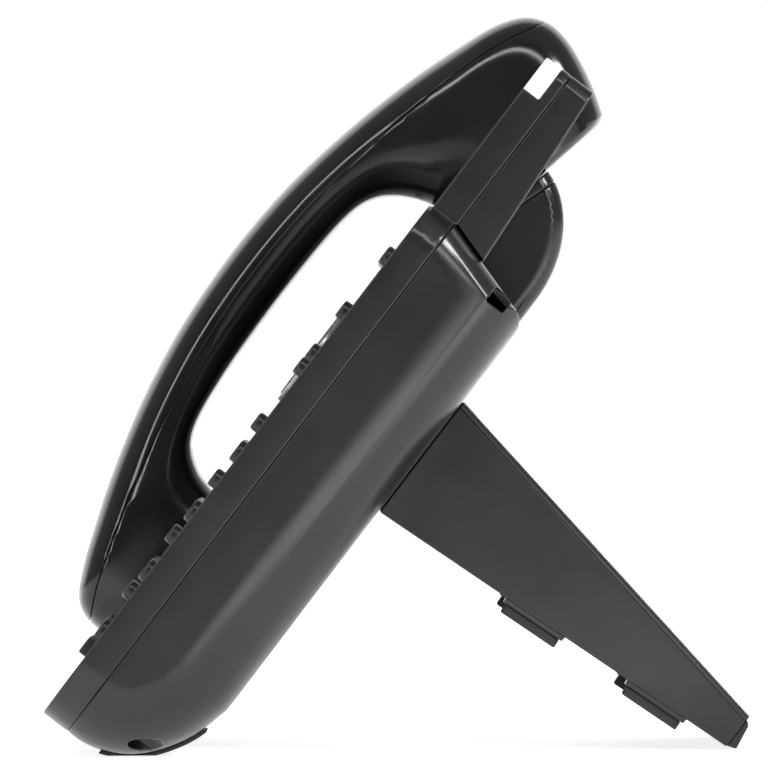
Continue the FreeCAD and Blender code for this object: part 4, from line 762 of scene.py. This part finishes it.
def rounded_outline(x, y, width, length, radius, z, steps=7):
    """A rounded rectangle as one ring."""
    radius = min(radius, width / 2 - 0.01, length / 2 - 0.01)
    ring = []
    for quarter, (sx, sy) in enumerate(((1, 1), (-1, 1), (-1, -1), (1, -1))):
        for i in range(steps + 1):
            a = math.pi / 2 * (quarter + i / steps)
            ring.append(Vector((
                x + sx * (width / 2 - radius) + radius * math.cos(a),
                y + sy * (length / 2 - radius) + radius * math.sin(a), z,
            )))
    return ring


KEY_TOP = ((0.0, 0.75), (0.06, 0.4), (0.2, 0.17), (0.42, 0.04), (0.75, 0.0))   # inset, drop
KEY_DISH = ((1.1, 0.25), (1.6, 0.55), (2.2, 0.85))   # inset, share of the dish's depth
KEY_ROUNDNESS = 0.42
FLANGE_TOP = -2.9
FLANGE_BOTTOM = -3.9


def key_cap(name, x, y, size, dish):
    """A key with a rounded rim, a dished top and the flange that keeps it under the cover."""
    width, length, height = size
    corner = length * KEY_ROUNDNESS
    rings = []
    for z in (FLANGE_BOTTOM, FLANGE_TOP):
        rings.append(rounded_outline(x, y, width + 2, length + 2, corner + 1, z))
    rings.append(rounded_outline(x, y, width, length, corner, FLANGE_TOP))
    levels = [(inset, height - drop) for inset, drop in KEY_TOP]
    levels += [(inset, height - dish * share) for inset, share in KEY_DISH]
    for inset, z in levels:
        size = (width - 2 * inset, length - 2 * inset)
        rings.append(rounded_outline(x, y, *size, corner - inset, z))
    mesh = loft(name + "_cap", (rings, False))
    smoothed_by_angle(mesh, 50)
    thing = piece(name + "_cap", stood(mesh), name, KEYS)
    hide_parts(name)


def dial():
    """(node, x, y, size, legend) of every plain key."""
    keys = []
    names = (("star", "0", "hash"), ("7", "8", "9"), ("4", "5", "6"), ("1", "2", "3"))
    signs = {"star": "*", "hash": "#"}
    for row, row_names in enumerate(names):
        for column, name in enumerate(row_names):
            x = DIAL_AT[0] + (column - 1) * DIAL_PITCH[0]
            y = DIAL_AT[1] + row * DIAL_PITCH[1]
            keys.append(("key_" + name, x, y, DIAL_KEY, signs.get(name, name)))
    for row, name in enumerate(("speaker", "redial", "transfer", "hold", "mute", "headset")):
        keys.append((name + "_key", SIDE_X, ROCKER_Y + (row + 1) * SIDE_PITCH, SIDE_KEY, None))
    for i in range(4):
        x = SOFT_AT[0] + (i - 1.5) * SOFT_PITCH
        keys.append(("soft_key_" + str(i + 1), x, SOFT_AT[1], SOFT_KEY, None))
    keys.append(("message_key", MESSAGE_X, NAV_AT[1], SIDE_KEY, None))
    keys.append(("conference_key", CONFERENCE_X, NAV_AT[1], SIDE_KEY, None))
    return keys


def words(name, text, x, y, z, size, body, material, thickness=0.05):
    """Flat raised characters."""
    data = bpy.data.curves.new(name, "FONT")
    data.body = text
    data.size = size
    data.extrude = thickness
    data.align_x = "CENTER"
    data.align_y = "CENTER"
    data.resolution_u = 5
    source = bpy.data.objects.new("working", data)
    bpy.context.scene.collection.objects.link(source)
    bpy.context.view_layer.update()
    seen = source.evaluated_get(bpy.context.evaluated_depsgraph_get())
    mesh = bpy.data.meshes.new_from_object(seen)
    bpy.data.objects.remove(source)
    bpy.data.curves.remove(data)
    mesh.transform(Matrix.Translation((x, y, z)))
    mesh.name = name
    return piece(name, stood(mesh), body, material)


def keys():
    for name, x, y, size, legend in dial():
        dish = LEGEND_DISH if legend else PLAIN_DISH
        key_cap(name, x, y, size, dish)
        if legend:
            z = size[2] - dish * KEY_DISH[-1][1] + LEGEND_RISE
            words(name + "_legend", legend, x, y, z, LEGEND_SIZE, name, WHITE_INK)


def bent_bar(points, width, thick):
    """A flat bar through points of the side view, as one skin; each point is (x, y, z)."""
    rings = []
    across = Vector((1, 0, 0))
    for i, p in enumerate(points):
        before = Vector(points[max(i - 1, 0)])
        after = Vector(points[min(i + 1, len(points) - 1)])
        normal = (after - before).normalized().cross(across).normalized()
        p = Vector(p)
        ring = []
        for u, v in ((-1, -1), (1, -1), (1, 1), (-1, 1)):
            ring.append(p + across * u * width / 2 + normal * v * thick / 2)
        rings.append(ring)
    return rings, False


def jack_contacts():
    """Sprung contact wires in the four jacks of the cable bay and in the handset's jack."""
    for name, x, count, top in (
        ("network_contacts_1", -23.1, 8, -26.8), ("network_contacts_2", -4.5, 8, -26.8),
        ("cord_contacts_1", 11.7, 4, -26.5), ("cord_contacts_2", 25.5, 4, -26.5),
    ):
        skins = []
        for i in range(count):
            px = x + (i - (count - 1) / 2) * CONTACT_PITCH
            path = ((85.2, 0.0), (86.4, -0.25), (92.0, -3.0), (93.6, -3.1))
            skins.append(bent_bar([(px, y, top + drop) for y, drop in path], *CONTACT_SECTION))
        piece(name, stood(loft(name, *skins)), "base", GOLD)
    skins = []
    for i in range(4):
        px = HANDSET_X + (i - 1.5) * CONTACT_PITCH
        path = ((24.0, 1.6), (25.0, 1.3), (29.5, -1.6), (31.0, -1.7))
        skins.append(bent_bar([(px, y, z) for y, z in path], *CONTACT_SECTION))
    piece("handset_contacts", stood(loft("handset_contacts", *skins)), "handset", GOLD)


# ---- printed marks

MARK_RISE = 0.04
STROKE = 0.42
SIGNS_X = 65.4
MESSAGE_SIGN_Y = 124.5
CONFERENCE_SIGN_Y = 125.0
ARROW_REACH = 10.3
DISPLAY_AT = (0.0, 188.0, -3.5)


def bar(x0, y0, x1, y1, width):
    """Outline of a straight stroke."""
    way = Vector((x1 - x0, y1 - y0)).normalized() * width / 2
    side = Vector((-way.y, way.x))
    a, b = Vector((x0, y0)), Vector((x1, y1))
    return [a - way - side, b + way - side, b + way + side, a - way + side]


def band(x, y, radius, start, stop, width, steps=20):
    """Outline of an arc between two angles in degrees."""
    outer, inner = [], []
    for i in range(steps + 1):
        a = math.radians(start + (stop - start) * i / steps)
        way = Vector((math.cos(a), math.sin(a)))
        outer.append(Vector((x, y)) + way * (radius + width / 2))
        inner.append(Vector((x, y)) + way * (radius - width / 2))
    return outer + inner[::-1]


def triangle(x, y, size, degrees):
    """Outline of a triangle that points along an angle."""
    corners = []
    for turn in (0, 130, 230):
        a = math.radians(degrees + turn)
        corners.append(Vector((x + size * math.cos(a), y + size * math.sin(a))))
    return corners


def marks(name, outlines, x, y, z, body, slot, material):
    """Raised print: every outline stands out a little from the surface at z."""
    made = bmesh.new()
    for outline in outlines:
        low = [made.verts.new((x + p[0], y + p[1], z - MARK_RISE)) for p in outline]
        high = [made.verts.new((x + p[0], y + p[1], z + MARK_RISE)) for p in outline]
        made.faces.new(low[::-1])
        made.faces.new(high)
        for i in range(len(outline)):
            j = (i + 1) % len(outline)
            made.faces.new((low[i], low[j], high[j], high[i]))
    bmesh.ops.recalc_face_normals(made, faces=made.faces)
    bmesh.ops.triangulate(made, faces=[f for f in made.faces if len(f.verts) > 4])
    mesh = bpy.data.meshes.new(name)
    made.to_mesh(mesh)
    made.free()
    return piece(name, stood(mesh), body, material)


def pictograms():
    """Generic signs beside the side keys, on the rocker and on the navigation keys."""
    w = STROKE
    side = (
        ("speaker", [bar(-1.9, -0.5, -1.9, 0.5, 1.2), triangle(-0.9, 0, 1.5, 180),
                     band(-0.4, 0, 1.4, -50, 50, w), band(-0.4, 0, 2.4, -50, 50, w)]),
        ("redial", [band(0, 0, 1.8, -220, 70, w), triangle(0.75, 1.75, 1.0, 0)]),
        ("transfer", [bar(-2.0, 0.8, 1.4, 0.8, w), triangle(1.9, 0.8, 0.9, 0),
                      bar(-1.4, -0.8, 2.0, -0.8, w), triangle(-1.9, -0.8, 0.9, 180)]),
        ("hold", [bar(-0.8, -1.3, -0.8, 1.3, 0.8), bar(0.8, -1.3, 0.8, 1.3, 0.8)]),
        ("mute", [bar(0, -0.1, 0, 1.4, 1.3), band(0, 0.1, 1.5, 180, 360, w), bar(0, -1.9, 0, -1.6, w),
                  bar(-1.9, -1.7, 1.9, 2.0, w)]),
        ("headset", [band(0, -0.2, 1.9, 0, 180, w), bar(-1.9, -1.2, -1.9, -0.5, 1.0),
                     bar(1.9, -1.2, 1.9, -0.5, 1.0)]),
    )
    for row, (name, outlines) in enumerate(side):
        y = ROCKER_Y + (row + 1) * SIDE_PITCH
        marks(name + "_sign", outlines, SIGNS_X, y, 0.0, "base", "body_plastic", WHITE_INK)
    envelope = [bar(-2.2, -1.4, 2.2, -1.4, w), bar(2.2, -1.4, 2.2, 1.4, w), bar(2.2, 1.4, -2.2, 1.4, w),
                bar(-2.2, 1.4, -2.2, -1.4, w), bar(-2.2, 1.4, 0, -0.2, w), bar(0, -0.2, 2.2, 1.4, w)]
    at = (MESSAGE_X, MESSAGE_SIGN_Y, 0.0)
    marks("message_sign", envelope, *at, "base", "body_plastic", WHITE_INK)
    heads = []
    for x, y in ((-1.9, -0.7), (1.9, -0.7), (0, 1.0)):
        heads += [band(x, y, 0.45, 0, 350, 0.7), band(x, y - 2.0, 1.0, 20, 160, w)]
    at = (CONFERENCE_X, CONFERENCE_SIGN_Y, 0.0)
    marks("conference_sign", heads, *at, "base", "body_plastic", WHITE_INK)
    level = [bar(7.5, 0, 9.7, 0, w), bar(8.6, -1.1, 8.6, 1.1, w), bar(-9.7, 0, -7.5, 0, w)]
    at = (SIDE_X, ROCKER_Y, SIDE_KEY[2])
    marks("volume_signs", level, *at, "volume_rocker", "key_plastic", WHITE_INK)
    for name, x, y, degrees in (
        ("nav_up", 0, 1, 90), ("nav_left", -1, 0, 180), ("nav_down", 0, -1, 270), ("nav_right", 1, 0, 0),
    ):
        arrow = [triangle(ARROW_REACH * x, ARROW_REACH * y, 1.5, degrees)]
        marks(name + "_arrow", arrow, *NAV_AT, 1.8, name, "key_plastic", WHITE_INK)
    tick = [bar(-1.5, 0.0, -0.4, -1.1, w), bar(-0.4, -1.1, 1.8, 1.4, w)]
    marks("ok_sign", tick, *NAV_AT, 1.4, "ok_key", "key_plastic", WHITE_INK)


def display_marks():
    """Segments of the display and the dark border printed on its window."""
    fields = []
    for i in range(4):
        x = SOFT_AT[0] + (i - 1.5) * SOFT_PITCH
        fields += [bar(x - 7, -10.5, x + 7, -10.5, 0.3), bar(x - 7, -6.0, x + 7, -6.0, 0.3),
                   bar(x - 4, -8.2, x + 4, -8.2, 1.6)]
    for i in range(4):
        fields.append(bar(64 + i * 2.2, 11.6, 64 + i * 2.2, 11.6 + 0.7 * i, 1.2))
    fields += [bar(38, 3.8, 70, 3.8, 1.4), bar(38, 0.0, 62, 0.0, 1.4), bar(-12, 12.5, 8, 12.5, 1.4)]
    marks("display_fields", fields, *DISPLAY_AT, "base", "display", DARK_INK)
    x0, x1, y0, y1, w = -17.4, 84.4, 174.1, 201.9, 3.2
    border = [bar(x0, y0, x1, y0, w), bar(x0, y1, x1, y1, w), bar(x0, y0 + w, x0, y1 - w, w),
              bar(x1, y0 + w, x1, y1 - w, w)]
    marks("window_border", border, 0.0, 0.0, -1.2, "base", "window", KEYS)


GRILLE_SLOTS = 7
GRILLE_PITCH = 4.2
GRILLE_START = 104.0
GRILLE_LENGTH = 24.0
CROSS_WIRES = 23


def grille_mesh():
    """Wire mesh behind each loudspeaker slot."""
    skins = []
    end = GRILLE_START + GRILLE_LENGTH
    for slot in range(GRILLE_SLOTS):
        x = HANDSET_X + (slot - (GRILLE_SLOTS - 1) / 2) * GRILLE_PITCH
        for i in range(CROSS_WIRES):
            y = GRILLE_START + i * GRILLE_LENGTH / (CROSS_WIRES - 1)
            skins.append(flat_block(x - 0.88, x + 0.88, y - 0.14, y + 0.14, -2.3, -2.05))
        for wire in (x - 0.45, x + 0.45):
            sides = (wire - 0.12, wire + 0.12)
            skins.append(flat_block(*sides, GRILLE_START - 0.8, end + 0.8, -2.4, -2.15))
    piece("grille_wires", stood(loft("grille_wires", *skins)), "base", STEEL)


camera()
studio()
floor()
BODY = plastic("body_plastic", (0.008, 0.008, 0.009), 0.22, 3800, 0.004)
HANDSET = plastic("handset_plastic", (0.008, 0.008, 0.009), 0.13, 5200, 0.0012)
KEYS = plastic("key_plastic", (0.012, 0.012, 0.013), 0.28, 5200, 0.003)
RUBBER = plastic("rubber", (0.010, 0.010, 0.010), 0.68, 2600, 0.02)
JACK = plastic("jack_plastic", (0.012, 0.012, 0.012), 0.4, 3800, 0.006)
FLEX = plastic("flex_cable", (0.30, 0.13, 0.03), 0.35, 900, 0.004)
LAMP = frosted("lamp_plastic")
TRIM = metal("trim_ring", (0.50, 0.50, 0.51), 0.28, 2600)
STEEL = metal("steel", (0.48, 0.48, 0.49), 0.35, 1800)
CAPSULE = metal("capsule_metal", (0.34, 0.34, 0.35), 0.4, 1400)
GOLD = metal("contact_gold", (0.72, 0.52, 0.20), 0.25, 2200)
BOARD = board("circuit_board")
SCREEN = screen("display")
WINDOW = clear("window")
WHITE_INK = ink("white_ink", (0.72, 0.72, 0.72))
DARK_INK = ink("dark_ink", (0.03, 0.035, 0.03))
FINISHES = {
    "body_plastic": BODY, "handset_plastic": HANDSET, "key_plastic": KEYS, "rubber": RUBBER,
    "lamp_plastic": LAMP, "window": WINDOW, "display": SCREEN, "trim_ring": TRIM,
    "circuit_board": BOARD, "steel": STEEL, "capsule_metal": CAPSULE, "jack_plastic": JACK,
    "flex_cable": FLEX,
}
for thing in frame["nodes"].values():
    thing.data.materials[0] = FINISHES[thing.data.materials[0].name.split(".")[0]]
for node, body, slot, width in (
    ("front_cover", "base", "body_plastic", 0.45),
    ("rear_shell", "base", "body_plastic", 0.45),
    ("display_rear_cover", "base", "body_plastic", 0.5),
    ("stand", "plug_in_stand", "body_plastic", 0.4),
    ("stand_feet", "plug_in_stand", "rubber", 0.4),
    ("stand_tip_pad", "plug_in_stand", "rubber", 0.4),
    ("base_feet", "base", "rubber", 0.3),
    ("status_lamp", "base", "lamp_plastic", 0.4),
    ("nav_ring", "base", "trim_ring", 0.3),
    *((key, key, "key_plastic", 0.35) for key in ("nav_up", "nav_left", "nav_down", "nav_right")),
    ("ok_key", "ok_key", "key_plastic", 0.4),
    ("volume_rocker", "volume_rocker", "key_plastic", 0.5),
    ("hook_plunger", "hook_plunger", "key_plastic", 0.4),
    ("cradle_tab", "cradle_tab", "body_plastic", 0.3),
):
    softened(node, body, FINISHES[slot], width)
handset()
keys()
jack_contacts()
words("display_time", "10:24", 8.0, 190.0, -3.44, 11.0, "base", DARK_INK, 0.03)
pictograms()
display_marks()
grille_mesh()
